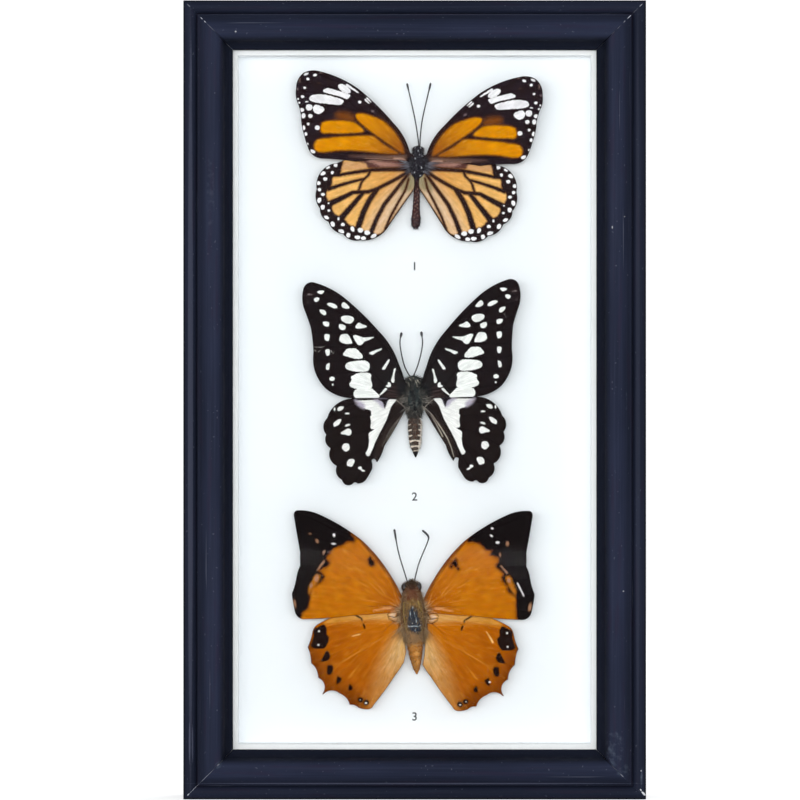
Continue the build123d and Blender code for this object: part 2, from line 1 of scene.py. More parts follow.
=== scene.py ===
import bmesh
import bpy
import numpy as np
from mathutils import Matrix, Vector


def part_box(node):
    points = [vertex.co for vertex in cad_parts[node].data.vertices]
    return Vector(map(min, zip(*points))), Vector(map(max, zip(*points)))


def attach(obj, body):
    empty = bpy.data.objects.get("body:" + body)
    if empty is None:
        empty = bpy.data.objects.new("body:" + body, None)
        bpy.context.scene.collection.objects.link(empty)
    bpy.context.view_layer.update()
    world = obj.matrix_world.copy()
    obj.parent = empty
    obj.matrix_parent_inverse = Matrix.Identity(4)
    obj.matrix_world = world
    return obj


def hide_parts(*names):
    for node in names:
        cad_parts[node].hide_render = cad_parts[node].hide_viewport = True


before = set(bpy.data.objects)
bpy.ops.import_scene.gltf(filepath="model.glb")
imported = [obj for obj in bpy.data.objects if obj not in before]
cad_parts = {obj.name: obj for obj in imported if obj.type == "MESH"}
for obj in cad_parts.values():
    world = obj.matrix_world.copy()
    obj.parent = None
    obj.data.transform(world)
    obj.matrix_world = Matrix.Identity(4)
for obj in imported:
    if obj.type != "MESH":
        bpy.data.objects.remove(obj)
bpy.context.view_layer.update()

# ---- Moulding --------------------------------------------------------------------------------
# Four lengths of one wooden moulding, sawn at 45 degrees and pinned at the corners. The outer
# bead, the quirk and the narrow land beside it, the broad crown and the steep slope to the sight
# edge are covered with a satin blue-black paint that is worn thin along the mitres.

MM = 0.001
CASE_WIDTH = 150.0
CASE_HEIGHT = 259.0
MID_Z = CASE_HEIGHT / 2
BACK_Y = 14.0  # the plane of the frame's back; heights h are measured from it to the viewer
CROWN = 28.0
LEDGE = 20.0
LIP = 22.2
FACE_WIDTH = 16.0
RABBET_WALL = 10.0
BEAD_RADIUS = 2.3
BEAD_TOP = 26.0
BEAD_EDGE = 4.4
GROOVE_EDGE = 4.9
GROOVE_FLOOR = 24.3
LAND_EDGE = 5.3
LAND = 26.0
CROWN_TOP = 10.3
CROWN_EDGE = 13.2
CROWN_END = 25.6
SLOPE_EDGE = 14.8
PAINT_ROUND = 0.22  # paint rounds every sharp edge
JOINT_GAP = 0.07  # the mitred ends are eased by this much
BACK_EASE = 0.05  # bare back face, behind the nails' ends


def srgb(red, green, blue):
    """Linear colour of an 8-bit screen colour."""
    screen = np.array([red, green, blue]) / 255.0
    linear = np.where(screen < 0.04045, screen / 12.92, ((screen + 0.055) / 1.055) ** 2.4)
    return (*linear.tolist(), 1.0)


def quarter(top, end, steps):
    """Points from end to top on the circle that is level at top: its centre lies straight below
    top by (across^2 + drop^2) / (2 drop)."""
    across, drop = end[0] - top[0], top[1] - end[1]
    radius = (across**2 + drop**2) / (2 * drop)
    angle = np.linspace(np.arcsin(across / radius), 0, steps)
    return np.array(top) + radius * np.stack([np.sin(angle), np.cos(angle) - 1], 1)


def arc(start, through, end, steps):
    """Points on the circle through three points: its centre is equally far from all of them."""
    a, b, c = np.array(start, float), np.array(through, float), np.array(end, float)
    sides = 2 * np.array([b - a, c - a])
    centre = np.linalg.solve(sides, np.array([b @ b - a @ a, c @ c - a @ a]))
    radius = np.linalg.norm(a - centre)
    turns = np.unwrap([np.arctan2(*(p - centre)[::-1]) for p in (a, b, c)])
    angle = np.interp(np.linspace(0, 2, steps), (0, 1, 2), turns)
    return centre + radius * np.stack([np.cos(angle), np.sin(angle)], 1)


def rounded_corners(points, radius, steps=4):
    """Closed outline whose corners are replaced by parabolas that start radius away on each side."""
    points = np.array(points, float)
    before = np.roll(points, 1, 0) - points
    after = np.roll(points, -1, 0) - points
    reach = np.minimum(radius, 0.4 * np.minimum(np.hypot(*before.T), np.hypot(*after.T)))[:, None]
    start = points + before / np.hypot(*before.T)[:, None] * reach
    end = points + after / np.hypot(*after.T)[:, None] * reach
    t = np.linspace(0, 1, steps)[None, :, None]
    curve = start[:, None] * (1 - t) ** 2 + points[:, None] * 2 * t * (1 - t) + end[:, None] * t**2
    return curve.reshape(-1, 2)


def grid_faces(rows, columns, start=0, wrap=True):
    """Quads of a grid numbered row by row; wrap joins each row's last point to its first."""
    row = np.arange(rows - 1)[:, None]
    column = np.arange(columns if wrap else columns - 1)[None, :]
    beside = (column + 1) % columns
    corners = [row * columns + column, row * columns + beside]
    corners += [(row + 1) * columns + beside, (row + 1) * columns + column]
    return start + np.stack(corners, -1).reshape(-1, 4)


def piece(name, points, faces, body="case", replaces=None, material=None, fields=None):
    """Closed mesh from millimetre points (x, y, z) and faces, with named values on its points."""
    mesh = bpy.data.meshes.new(name)
    mesh.from_pydata((np.asarray(points) * MM).tolist(), [], [list(face) for face in faces])
    work = bmesh.new()
    work.from_mesh(mesh)
    bmesh.ops.recalc_face_normals(work, faces=work.faces)
    work.to_mesh(mesh)
    work.free()
    mesh.polygons.foreach_set("use_smooth", [True] * len(mesh.polygons))
    for field, values in (fields or {}).items():
        flat = values.ndim == 1
        layer = mesh.attributes.new(field, "FLOAT" if flat else "FLOAT_VECTOR", "POINT")
        layer.data.foreach_set("value" if flat else "vector", values.astype(np.float32).ravel())
    made = bpy.data.objects.new(name, mesh)
    bpy.context.scene.collection.objects.link(made)
    mesh.materials.append(material)
    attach(made, body)
    if replaces:
        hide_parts(replaces)
    return made


def new_material(name):
    """A material with an empty node tree, and that tree."""
    material = bpy.data.materials.new(name)
    material.use_nodes = True
    material.node_tree.nodes.clear()
    return material, material.node_tree


def shade(tree, kind, settings=None, **inputs):
    """A shader node; an input given as a socket is linked, any other is set."""
    made = tree.nodes.new("ShaderNode" + kind)
    for setting, value in (settings or {}).items():
        setattr(made, setting, value)
    for name, value in inputs.items():
        socket = made.inputs[name.replace("_", " ")]
        if isinstance(value, bpy.types.NodeSocket):
            tree.links.new(value, socket)
        else:
            socket.default_value = value
    return made


def math(tree, operation, first, second=0.0, clamp=False):
    """Result socket of a math node on two numbers or sockets."""
    made = tree.nodes.new("ShaderNodeMath")
    made.operation = operation
    made.use_clamp = clamp
    for socket, value in zip(made.inputs, (first, second)):
        if isinstance(value, bpy.types.NodeSocket):
            tree.links.new(value, socket)
        else:
            socket.default_value = value
    return made.outputs[0]


def blend(tree, factor, first, second, mode="MIX"):
    """Colour socket that goes from the first colour at factor 0 to the second at 1."""
    made = tree.nodes.new("ShaderNodeMix")
    made.data_type = "RGBA"
    made.blend_type = mode
    for socket, value in zip((made.inputs[0], made.inputs[6], made.inputs[7]), (factor, first, second)):
        if isinstance(value, bpy.types.NodeSocket):
            tree.links.new(value, socket)
        else:
            socket.default_value = value
    return made.outputs[2]


def ramp(tree, value, low, high, to_low=0.0, to_high=1.0):
    """Value carried smoothly from low..high to to_low..to_high and held beyond them."""
    made = shade(tree, "MapRange", {"interpolation_type": "SMOOTHSTEP"}, Value=value)
    for socket, number in zip(list(made.inputs)[1:5], (low, high, to_low, to_high)):
        socket.default_value = number
    return made.outputs[0]


def noise(tree, vector, scale, detail=2.0, stretch=None):
    """Cloudy number about 0.5 with features 1 / scale long, longer where stretch is below 1."""
    if stretch:
        vector = shade(tree, "Mapping", Vector=vector, Scale=stretch).outputs[0]
    return shade(tree, "TexNoise", Vector=vector, Scale=scale, Detail=detail).outputs[0]


def field(tree, name, vector=False):
    """Socket with a value that piece() stored on the points."""
    made = shade(tree, "Attribute", {"attribute_name": name})
    return made.outputs["Vector" if vector else "Fac"]


def surface(tree, color, roughness, bump=None, strength=0.3, distance=0.1, **inputs):
    """Principled surface as the material's output; bump is a height in units of distance mm."""
    if bump is not None:
        relief = shade(tree, "Bump", Height=bump, Strength=strength, Distance=distance * MM)
        inputs["Normal"] = relief.outputs[0]
    principled = shade(tree, "BsdfPrincipled", Base_Color=color, Roughness=roughness, **inputs)
    out = shade(tree, "OutputMaterial")
    tree.links.new(principled.outputs[0], out.inputs[0])
    return principled


def worn_places(tree, color, places, bare, raggedness=0.5):
    """Colour goes to another colour in ovals (x, z, length, width, tilt, strength): the bare colour
    where the ovals are wear, and a painted highlight where they stand for light; a place
    is in the oval where its offset, turned and divided by the half sizes, is shorter than 1."""
    spot = shade(tree, "TexCoord").outputs["Object"]
    ragged = math(tree, "MULTIPLY", noise(tree, spot, 1500.0, 3.0), raggedness)
    for x, z, length, width, tilt, strength in places:
        local = shade(tree, "Mapping", {"vector_type": "TEXTURE"}, Vector=spot,
                      Location=(x * MM, 0.0, z * MM), Rotation=(0.0, -np.radians(tilt), 0.0),
                      Scale=(length / 2 * MM, 1.0, width / 2 * MM)).outputs[0]
        reach = shade(tree, "VectorMath", {"operation": "LENGTH"})
        tree.links.new(local, reach.inputs[0])
        cover = ramp(tree, math(tree, "ADD", reach.outputs["Value"], ragged), 1.3, 0.9, 0.0, strength)
        color = blend(tree, cover, color, bare)
    return color


def mitre_places():
    """Worn dashes on the mitres: each lies at a distance u along both sides from its corner, so
    it is turned by 45 degrees; rows are (corner x side, corner z side, u from, u to, width,
    strength)."""
    places = []
    for side_x, side_z, start, end, width, strength in MITRE_WEAR:
        u = (start + end) / 2
        x = side_x * (CASE_WIDTH / 2 - u)
        z = MID_Z + side_z * (CASE_HEIGHT / 2 - u)
        places.append((x, z, (end - start) * np.sqrt(2), width, 45.0 * side_x * side_z, strength))
    return places


MITRE_WEAR = (
    (-1, 1, 5.7, 6.4, 0.26, 0.8), (-1, 1, 6.8, 7.5, 0.26, 0.75), (-1, 1, 8.0, 10.6, 0.18, 0.3),
    (-1, 1, 13.6, 16.0, 0.2, 0.3), (-1, 1, 1.2, 2.4, 0.3, 0.25),
    (1, 1, 1.2, 2.3, 0.2, 0.7), (1, 1, 4.8, 6.3, 0.26, 0.85), (1, 1, 6.8, 7.4, 0.2, 0.45),
    (1, 1, 8.4, 9.6, 0.16, 0.3), (1, 1, 2.6, 4.6, 0.12, 0.25), (1, 1, 10.2, 11.6, 0.3, 0.14),
    (-1, -1, 1.3, 2.1, 0.34, 0.85), (-1, -1, 2.0, 5.2, 0.14, 0.65), (-1, -1, 5.4, 10.8, 0.12, 0.55),
    (-1, -1, 11.0, 11.9, 0.34, 0.75), (-1, -1, 12.0, 13.0, 0.2, 0.3),
    (1, -1, 7.4, 8.6, 0.3, 0.3), (1, -1, 9.6, 11.6, 0.3, 0.1),
)
CHIPS = (
    (74.15, 2.0, 1.9, 0.7, -45.0, 0.95), (73.2, 3.2, 0.8, 0.5, -60.0, 0.7),
    (-57.9, 248.6, 0.55, 0.5, 0.0, 0.5), (73.3, 9.4, 0.4, 0.5, 0.0, 0.45),
    (63.9, 185.3, 0.4, 0.9, 0.0, 0.4), (67.5, 67.6, 0.5, 0.4, 0.0, 0.4),
    (67.9, 188.8, 0.35, 0.35, 0.0, 0.35),
)
RUBBED = (
    (64.8, 16.6, 6.4, 13.0, 0.0, 0.42), (67.4, 9.6, 5.0, 5.0, 30.0, 0.3),
    (73.4, 7.0, 0.7, 7.2, 0.0, 0.6), (-63.5, 11.4, 3.2, 2.4, 45.0, 0.26),
    (68.5, 127.0, 0.7, 14.0, 0.0, 0.14), (-66.0, 196.0, 3.0, 30.0, 0.0, 0.14),
)
# Painted highlights: lighter lines along the beads and on the top and bottom rails stand for the lamps' reflection
# in the paint.
PAINTED_HIGHLIGHTS = (
    (-72.6, 128.0, 1.7, 236.0, 0.0, 0.42), (-72.9, 18.6, 0.5, 13.0, 0.0, 0.8),
    (-71.9, 18.2, 0.4, 12.0, 0.0, 0.6), (-72.4, 236.0, 0.4, 20.0, 0.0, 0.35),
    (72.2, 130.0, 1.4, 240.0, 0.0, 0.14), (73.6, 7.6, 0.3, 6.0, 0.0, 0.5),
    (0.0, 5.3, 140.0, 0.5, 0.0, 0.6), (0.0, 254.3, 140.0, 0.4, 0.0, 0.3),
)
# Share of painted shade at places across the moulding, in mm from its outer side: darker paint on
# the outer wall, in the quirk, on the crown's outer land and on the slope stands for shade there.
PAINTED_SHADE_ACROSS = (
    (1.3, 0.4, 0.0, 0.85), (3.1, 4.0, 0.0, 0.5), (8.6, 5.4, 0.0, 0.42), (11.2, 13.4, 0.0, 0.75),
)


def blue_black_paint():
    """Satin paint, cloudy along the grain, with dust nibs, hairline scratches and worn mitres; shade
    is painted across the moulding and highlights are painted along the beads and rails.
    """
    material, tree = new_material("blue_black_paint")
    lay = field(tree, "lay", vector=True)
    cloud = ramp(tree, noise(tree, lay, 0.06, 4.0, (0.22, 1.0, 1.0)), 0.3, 0.7)
    color = blend(tree, cloud, srgb(29, 34, 51), srgb(39, 44, 64))
    streak = noise(tree, lay, 1.4, 2.0, (0.02, 1.0, 1.0))
    color = blend(tree, ramp(tree, streak, 0.4, 0.75, 0.0, 0.35), color, srgb(46, 52, 72))
    plum = ramp(tree, noise(tree, lay, 0.5, 3.0, (0.1, 1.0, 1.0)), 0.52, 0.68, 0.0, 0.4)
    color = blend(tree, plum, color, srgb(40, 33, 52))
    scratch = ramp(tree, noise(tree, lay, 2.2, 1.0, (0.012, 1.0, 1.0)), 0.72, 0.76)
    patch = ramp(tree, noise(tree, lay, 0.04, 1.0), 0.5, 0.62)
    color = blend(tree, math(tree, "MULTIPLY", math(tree, "MULTIPLY", scratch, patch), 0.3),
                  color, srgb(110, 116, 132))
    nib = ramp(tree, noise(tree, lay, 1.3, 0.0), 0.80, 0.84)
    color = blend(tree, math(tree, "MULTIPLY", nib, 0.3), color, srgb(110, 116, 132))
    seam = math(tree, "ADD", field(tree, "seam"), math(tree, "MULTIPLY", noise(tree, lay, 0.9, 3.0), 0.5))
    worn = ramp(tree, seam, 0.36, 0.24)
    broken = ramp(tree, noise(tree, lay, 0.35, 2.0), 0.42, 0.62, 0.0, 0.35)
    color = blend(tree, math(tree, "MULTIPLY", worn, broken), color, srgb(120, 126, 140))
    split = shade(tree, "SeparateXYZ", Vector=lay)
    painted_shade = 0.0
    for start, end, least, most in PAINTED_SHADE_ACROSS:
        painted_shade = math(tree, "MAXIMUM", painted_shade, ramp(tree, split.outputs["Y"], start, end, least, most))
        if start < 4.0 < end + 0.1:
            painted_shade = math(tree, "MULTIPLY", painted_shade, ramp(tree, split.outputs["Y"], 4.9, 4.3))
    # This dark colour is painted shade, laid where the share above says.
    color = blend(tree, painted_shade, color, srgb(12, 15, 23))
    # Painted highlights along the beads and rails.
    color = worn_places(tree, color, PAINTED_HIGHLIGHTS, srgb(76, 80, 98), 0.25)
    fleck = ramp(tree, noise(tree, lay, 0.55, 5.0), 0.4, 0.7)
    rubbed = worn_places(tree, (0.0, 0.0, 0.0, 1.0), RUBBED, (1.0, 1.0, 1.0, 1.0), 0.6)
    color = blend(tree, math(tree, "MULTIPLY", rubbed, fleck), color, srgb(88, 99, 114))
    color = worn_places(tree, color, mitre_places(), srgb(196, 200, 212))
    color = worn_places(tree, color, CHIPS, srgb(226, 228, 234), 0.3)
    rough = ramp(tree, noise(tree, lay, 0.12, 3.0, (0.2, 1.0, 1.0)), 0.3, 0.7, 0.40, 0.5)
    pores = noise(tree, lay, 3.0, 3.0, (0.15, 1.0, 1.0))
    rough = math(tree, "MAXIMUM", rough, math(tree, "MULTIPLY", painted_shade, 0.95))
    surface(tree, color, rough, pores, 0.25, 0.06, Specular_IOR_Level=0.05)
    return material


def moulding_profile():
    """Closed section of the moulding as (u, h): straight runs joined by the bead and crown arcs."""
    bead_centre = BEAD_TOP - BEAD_RADIUS
    bead_end = bead_centre + np.sqrt(BEAD_RADIUS**2 - (BEAD_EDGE - BEAD_RADIUS) ** 2)
    bead = arc((0, bead_centre), (BEAD_RADIUS, BEAD_TOP), (BEAD_EDGE, bead_end), 14)
    rise = quarter((CROWN_TOP, CROWN), (LAND_EDGE, LAND), 18)
    fall = quarter((CROWN_TOP, CROWN), (CROWN_EDGE, CROWN_END), 16)[::-1]
    slope = arc((CROWN_EDGE, CROWN_END), (13.75, 23.9), (SLOPE_EDGE, LIP + 0.4), 8)
    lip = arc((SLOPE_EDGE, LIP + 0.4), (15.5, LIP + 0.15), (FACE_WIDTH, LIP - 0.4), 6)
    groove = np.array([(BEAD_EDGE, GROOVE_FLOOR), (GROOVE_EDGE, GROOVE_FLOOR), (GROOVE_EDGE, LAND)])
    back = np.array([(FACE_WIDTH, LEDGE), (RABBET_WALL, LEDGE), (RABBET_WALL, BACK_EASE), (0, BACK_EASE)])
    outline = np.concatenate([bead, groove, rise, fall[1:], slope[1:], lip[1:], back])
    return rounded_corners(outline, PAINT_ROUND)


def moulding_length(name, length, place):
    """Profile carried along a straight length: at distance u from the outer edge it is 2u shorter.
    The ends are eased by a fall-off from the mitre."""
    profile = moulding_profile()
    near_end = np.array([0.0, 0.12, 0.3, 0.7, 1.5, 4.0, 10.0, 20.0])
    half = 1 - near_end / (length / 2)
    share = np.concatenate([-half, np.linspace(-half[-1], half[-1], 9)[1:-1], half[::-1]])
    u = np.broadcast_to(profile[:, 0], (len(share), len(profile)))
    h = np.broadcast_to(profile[:, 1], u.shape)
    along = share[:, None] * (length / 2 - u)
    seam = (1 - np.abs(share[:, None])) * (length / 2 - u)
    ease = JOINT_GAP * np.exp(-seam / 0.12)
    u_in = u + ease * np.sign(FACE_WIDTH / 2 - u)
    h_in = np.where(h > BACK_EASE * 2, h - ease, h)
    points = place(along, u_in, h_in).reshape(-1, 3)
    faces = grid_faces(len(share), len(profile)).tolist()
    faces.append(list(range(len(profile))))
    faces.append(list(range(len(points) - len(profile), len(points))))
    fields = {"seam": seam.ravel(), "lay": np.stack([along, u, h], -1).reshape(-1, 3)}
    return piece(name + "_moulding", points, faces, replaces=name, material=PAINT,
                 fields=fields)


PAINT = blue_black_paint()
moulding_length("top_rail", CASE_WIDTH,
                lambda along, u, h: np.stack([-along, BACK_Y - h, CASE_HEIGHT - u], -1))
moulding_length("bottom_rail", CASE_WIDTH,
                lambda along, u, h: np.stack([along, BACK_Y - h, u], -1))
moulding_length("left_stile", CASE_HEIGHT,
                lambda along, u, h: np.stack([u - CASE_WIDTH / 2, BACK_Y - h, MID_Z - along], -1))
moulding_length("right_stile", CASE_HEIGHT,
                lambda along, u, h: np.stack([CASE_WIDTH / 2 - u, BACK_Y - h, MID_Z + along], -1))

# ---- Corner nails and framing points ---------------------------------------------------------
# Zinc-grey steel. V-nails are pressed across the mitres from behind, and flat points are
# pushed into the rabbet to hold the backing board in.


def dull_steel():
    """Zinc-plated steel: cloudy grey with fine rolling lines."""
    material, tree = new_material("dull_steel")
    place = shade(tree, "TexCoord").outputs["Object"]
    color = blend(tree, noise(tree, place, 900.0, 3.0), srgb(120, 122, 126), srgb(180, 182, 186))
    rough = ramp(tree, noise(tree, place, 2500.0), 0.3, 0.7, 0.30, 0.5)
    surface(tree, color, rough, noise(tree, place, 4000.0), 0.2, 0.02, Metallic=1.0)
    return material


def dress(material, *nodes):
    """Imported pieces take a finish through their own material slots."""
    for node in nodes:
        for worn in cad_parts[node].material_slots:
            worn.material = material


dress(dull_steel(), "corner_v_nails", "framing_points")

# ---- Glass -----------------------------------------------------------------------------------
# One 2 mm pane of picture glass lies in the rabbet against the sight lip. It shows only as a
# faint sheen, so the specimens behind it keep their colours.


def picture_glass():
    """Clear to light, with a thin mirror on top that grows towards grazing angles."""
    material, tree = new_material("picture_glass")
    clear = shade(tree, "BsdfTransparent", Color=(0.985, 0.992, 0.99, 1.0))
    mirror = shade(tree, "BsdfGlossy", Color=(1.0, 1.0, 1.0, 1.0), Roughness=0.015)
    sheen = math(tree, "MULTIPLY", shade(tree, "Fresnel", IOR=1.45).outputs[0], 0.05)
    mix = shade(tree, "MixShader")
    tree.links.new(sheen, mix.inputs[0])
    tree.links.new(clear.outputs[0], mix.inputs[1])
    tree.links.new(mirror.outputs[0], mix.inputs[2])
    out = shade(tree, "OutputMaterial")
    tree.links.new(mix.outputs[0], out.inputs[0])
    return material


dress(picture_glass(), "glass_pane")

# ---- Spacer fillets, card and labels ---------------------------------------------------------
# Foam-cored white strips hold the glass off the specimens. The card behind is smooth white
# board, and each specimen has a slip of white paper under it with a plain number.


def white_paper(name, pale, shaded, bump):
    """Matte white board: nearly even, with faint cloudiness and fine fibres."""
    material, tree = new_material(name)
    place = shade(tree, "TexCoord").outputs["Object"]
    color = blend(tree, noise(tree, place, 60.0, 4.0), pale, shaded)
    fibres = noise(tree, place, 1800.0, 4.0, (1.0, 1.0, 0.3))
    surface(tree, color, 0.75, fibres, bump, 0.05, Specular_IOR_Level=0.25)
    return material


dress(white_paper("fillet_white", srgb(254, 255, 255), srgb(252, 253, 255), 0.15),
      "top_spacer", "bottom_spacer", "left_spacer", "right_spacer")
dress(white_paper("card_white", srgb(249, 251, 254), srgb(245, 249, 253), 0.1), "mount_card")
dress(white_paper("slip_white", srgb(249, 250, 252), srgb(245, 248, 252), 0.15),
      "upper_label", "middle_label", "lower_label")


def label_number(name, node, number):
    """A plain number: filled letter outline with a little ink thickness, on the label's middle."""
    curve = bpy.data.curves.new(name, "FONT")
    curve.body = number
    curve.size = NUMBER_SIZE * MM
    curve.align_x = "CENTER"
    curve.align_y = "CENTER"
    curve.extrude = NUMBER_INK * MM
    curve.offset = NUMBER_WEIGHT * MM
    text = bpy.data.objects.new(name, curve)
    bpy.context.scene.collection.objects.link(text)
    bpy.context.view_layer.update()
    mesh = bpy.data.meshes.new_from_object(text)
    bpy.data.objects.remove(text)
    flat = np.empty(len(mesh.vertices) * 3, np.float32)
    mesh.vertices.foreach_get("co", flat)
    across, up, rise = flat.reshape(-1, 3).T
    low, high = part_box(node)
    middle_z = (low[2] + high[2]) / 2 - (up.min() + up.max()) / 2
    places = np.stack([across - (across.min() + across.max()) / 2 + (low[0] + high[0]) / 2,
                       low[1] - rise - NUMBER_INK * MM / 2, up + middle_z], 1)
    mesh.vertices.foreach_set("co", places.astype(np.float32).ravel())
    mesh.materials.append(LABEL_INK)
    made = bpy.data.objects.new(name, mesh)
    bpy.context.scene.collection.objects.link(made)
    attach(made, "case")


def label_ink():
    """Dark grey laser print, slightly uneven."""
    material, tree = new_material("label_ink")
    place = shade(tree, "TexCoord").outputs["Object"]
    surface(tree, blend(tree, noise(tree, place, 3000.0), srgb(52, 54, 58), srgb(74, 76, 80)), 0.6)
    return material


NUMBER_SIZE = 3.8
NUMBER_INK = 0.02
NUMBER_WEIGHT = 0.05
LABEL_INK = label_ink()
for number, label in enumerate(("upper_label", "middle_label", "lower_label"), 1):
    label_number(label + "_number", label, str(number))

# ---- Back: board and hanger ------------------------------------------------------------------
# Brown hardboard, rough side out, with a brass-plated strap riveted to it. The strap is folded
# round the straight bar of a ring that swings up to hang the case on a nail.


def hardboard():
    """Pressed brown fibre board: mottled, with short darker fibres and a woven-screen relief."""
    material, tree = new_material("hardboard")
    place = shade(tree, "TexCoord").outputs["Object"]
    color = blend(tree, noise(tree, place, 250.0, 5.0), srgb(104, 72, 46), srgb(150, 110, 72))
    fibre = ramp(tree, noise(tree, place, 1500.0, 3.0, (1.0, 1.0, 0.25)), 0.6, 0.72)
    color = blend(tree, math(tree, "MULTIPLY", fibre, 0.6), color, srgb(62, 40, 26))
    screen = shade(tree, "TexWave", {"wave_type": "BANDS"}, Vector=place, Scale=160.0, Distortion=2.0)
    relief = math(tree, "ADD", screen.outputs["Fac"], noise(tree, place, 900.0, 3.0))
    surface(tree, color, 0.85, relief, 0.35, 0.12)
    return material


def brass_plate():
    """Brass-plated steel: warm, slightly tarnished in clouds, with fine scratches."""
    material, tree = new_material("brass_plate")
    place = shade(tree, "TexCoord").outputs["Object"]
    color = blend(tree, noise(tree, place, 500.0, 4.0), srgb(176, 142, 78), srgb(214, 184, 118))
    rough = ramp(tree, noise(tree, place, 1600.0, 3.0), 0.3, 0.7, 0.22, 0.42)
    surface(tree, color, rough, noise(tree, place, 5000.0), 0.15, 0.02, Metallic=1.0)
    return material


dress(hardboard(), "backing_board")
dress(brass_plate(), "hanger_strap", "hanger_rivet", "hanger_ring")

# ---- Wings: how all of them are made ---------------------------------------------------------
# A dried wing is a thin membrane stretched over stiff veins and covered with coloured scales.
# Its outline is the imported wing's. Marks are named shapes in millimetres from the specimen's
# middle, as the right wing lies; a left wing is its mirror image, turned as it was pinned.

WING_THICKNESS = 0.14
VEIN_RELIEF = 0.09
VEIN_HALF_WIDTH = 0.2
SAG = 0.10  # membrane between veins sinks by this
RINGS = 76
OUTLINE_STEP = 0.33


def smooth_loop(points, steps=5):
    """Closed curve through the points: on each stretch a cubic whose ends run parallel to the
    chords between the neighbouring points."""
    p = np.array(points, float)
    before, after, beyond = np.roll(p, 1, 0), np.roll(p, -1, 0), np.roll(p, -2, 0)
    t = np.linspace(0, 1, steps, endpoint=False)[None, :, None]
    a, b, c, d = (q[:, None, :] for q in (before, p, after, beyond))
    curve = 2 * b + (c - a) * t + (2 * a - 5 * b + 4 * c - d) * t**2 + (3 * b - a - 3 * c + d) * t**3
    return (curve / 2).reshape(-1, 2)


def stroke_distance(x, z, points):
    """Distance from each place to the nearest point of a line of straight runs."""
    p = np.array(points, float)
    best = np.full(x.shape, 1e3)
    for (ax, az), (bx, bz) in zip(p[:-1], p[1:]):
        dx, dz = bx - ax, bz - az
        t = np.clip(((x - ax) * dx + (z - az) * dz) / (dx * dx + dz * dz), 0, 1)
        best = np.minimum(best, np.hypot(x - ax - t * dx, z - az - t * dz))
    return best


def area_distance(x, z, points, smooth=True):
    """Distance to a closed outline, negative inside: a place is inside where a ray from it
    crosses the outline an odd number of times."""
    p = smooth_loop(points) if smooth else np.array(points, float)
    closed = np.concatenate([p, p[:1]])
    inside = np.zeros(x.shape, bool)
    for (ax, az), (bx, bz) in zip(closed[:-1], closed[1:]):
        crosses = (az > z) != (bz > z)
        inside ^= crosses & (x < ax + (z - az) * (bx - ax) / np.where(bz == az, 1e-9, bz - az))
    distance = stroke_distance(x, z, closed)
    return np.where(inside, -distance, distance)


def oval_distance(x, z, oval):
    """Roughly the distance to an oval (x, z, width, height, tilt), negative inside."""
    cx, cz, width, height, tilt = oval
    turn = np.radians(tilt)
    across = (x - cx) * np.cos(turn) + (z - cz) * np.sin(turn)
    up = (z - cz) * np.cos(turn) - (x - cx) * np.sin(turn)
    return (np.hypot(across / (width / 2), up / (height / 2)) - 1) * min(width, height) / 2


def marks(x, z, ovals=(), areas=(), strokes=()):
    """Distance to the nearest of the marks, negative inside; a stroke is (half width at its
    start, half width at its end, points)."""
    best = np.full(x.shape, 30.0)
    for oval in ovals:
        best = np.minimum(best, oval_distance(x, z, oval))
    for outline in areas:
        best = np.minimum(best, area_distance(x, z, outline))
    for start, end, points in strokes:
        half_width = start
        if start != end:
            line = np.array(points[-1]) - np.array(points[0])
            share = ((x - points[0][0]) * line[0] + (z - points[0][1]) * line[1]) / (line @ line)
            half_width = start + (end - start) * np.clip(share, 0, 1)
        best = np.minimum(best, stroke_distance(x, z, points) - half_width)
    return best


def packed_outline(node):
    """Outline of a packed wing's flat back face, in order round its middle: the points of the
    edges that only one of the face's triangles has, sorted by their direction."""
    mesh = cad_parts[node].data
    points = np.empty(len(mesh.vertices) * 3, np.float32)
    mesh.vertices.foreach_get("co", points)
    points = points.reshape(-1, 3) / MM
    corners = np.empty(len(mesh.loops), np.int32)
    mesh.loops.foreach_get("vertex_index", corners)
    triangles = points[corners.reshape(-1, 3)]
    back = triangles[(triangles[:, :, 1] > points[:, 1].max() - 0.01).all(1)][:, :, (0, 2)]
    keys, number = np.unique(np.round(back.reshape(-1, 2), 3), axis=0, return_inverse=True)
    number = number.reshape(-1, 3)
    edges = np.sort(np.concatenate([number[:, (0, 1)], number[:, (1, 2)], number[:, (2, 0)]]), 1)
    edges, met = np.unique(edges, axis=0, return_counts=True)
    rim = keys[np.unique(edges[met == 1])]
    first, second = back[:, 1] - back[:, 0], back[:, 2] - back[:, 0]
    areas = np.abs(first[:, 0] * second[:, 1] - first[:, 1] * second[:, 0])
    middle = (back.mean(1) * areas[:, None]).sum(0) / areas.sum()
    return middle, rim[np.argsort(np.arctan2(rim[:, 1] - middle[1], rim[:, 0] - middle[0]))]


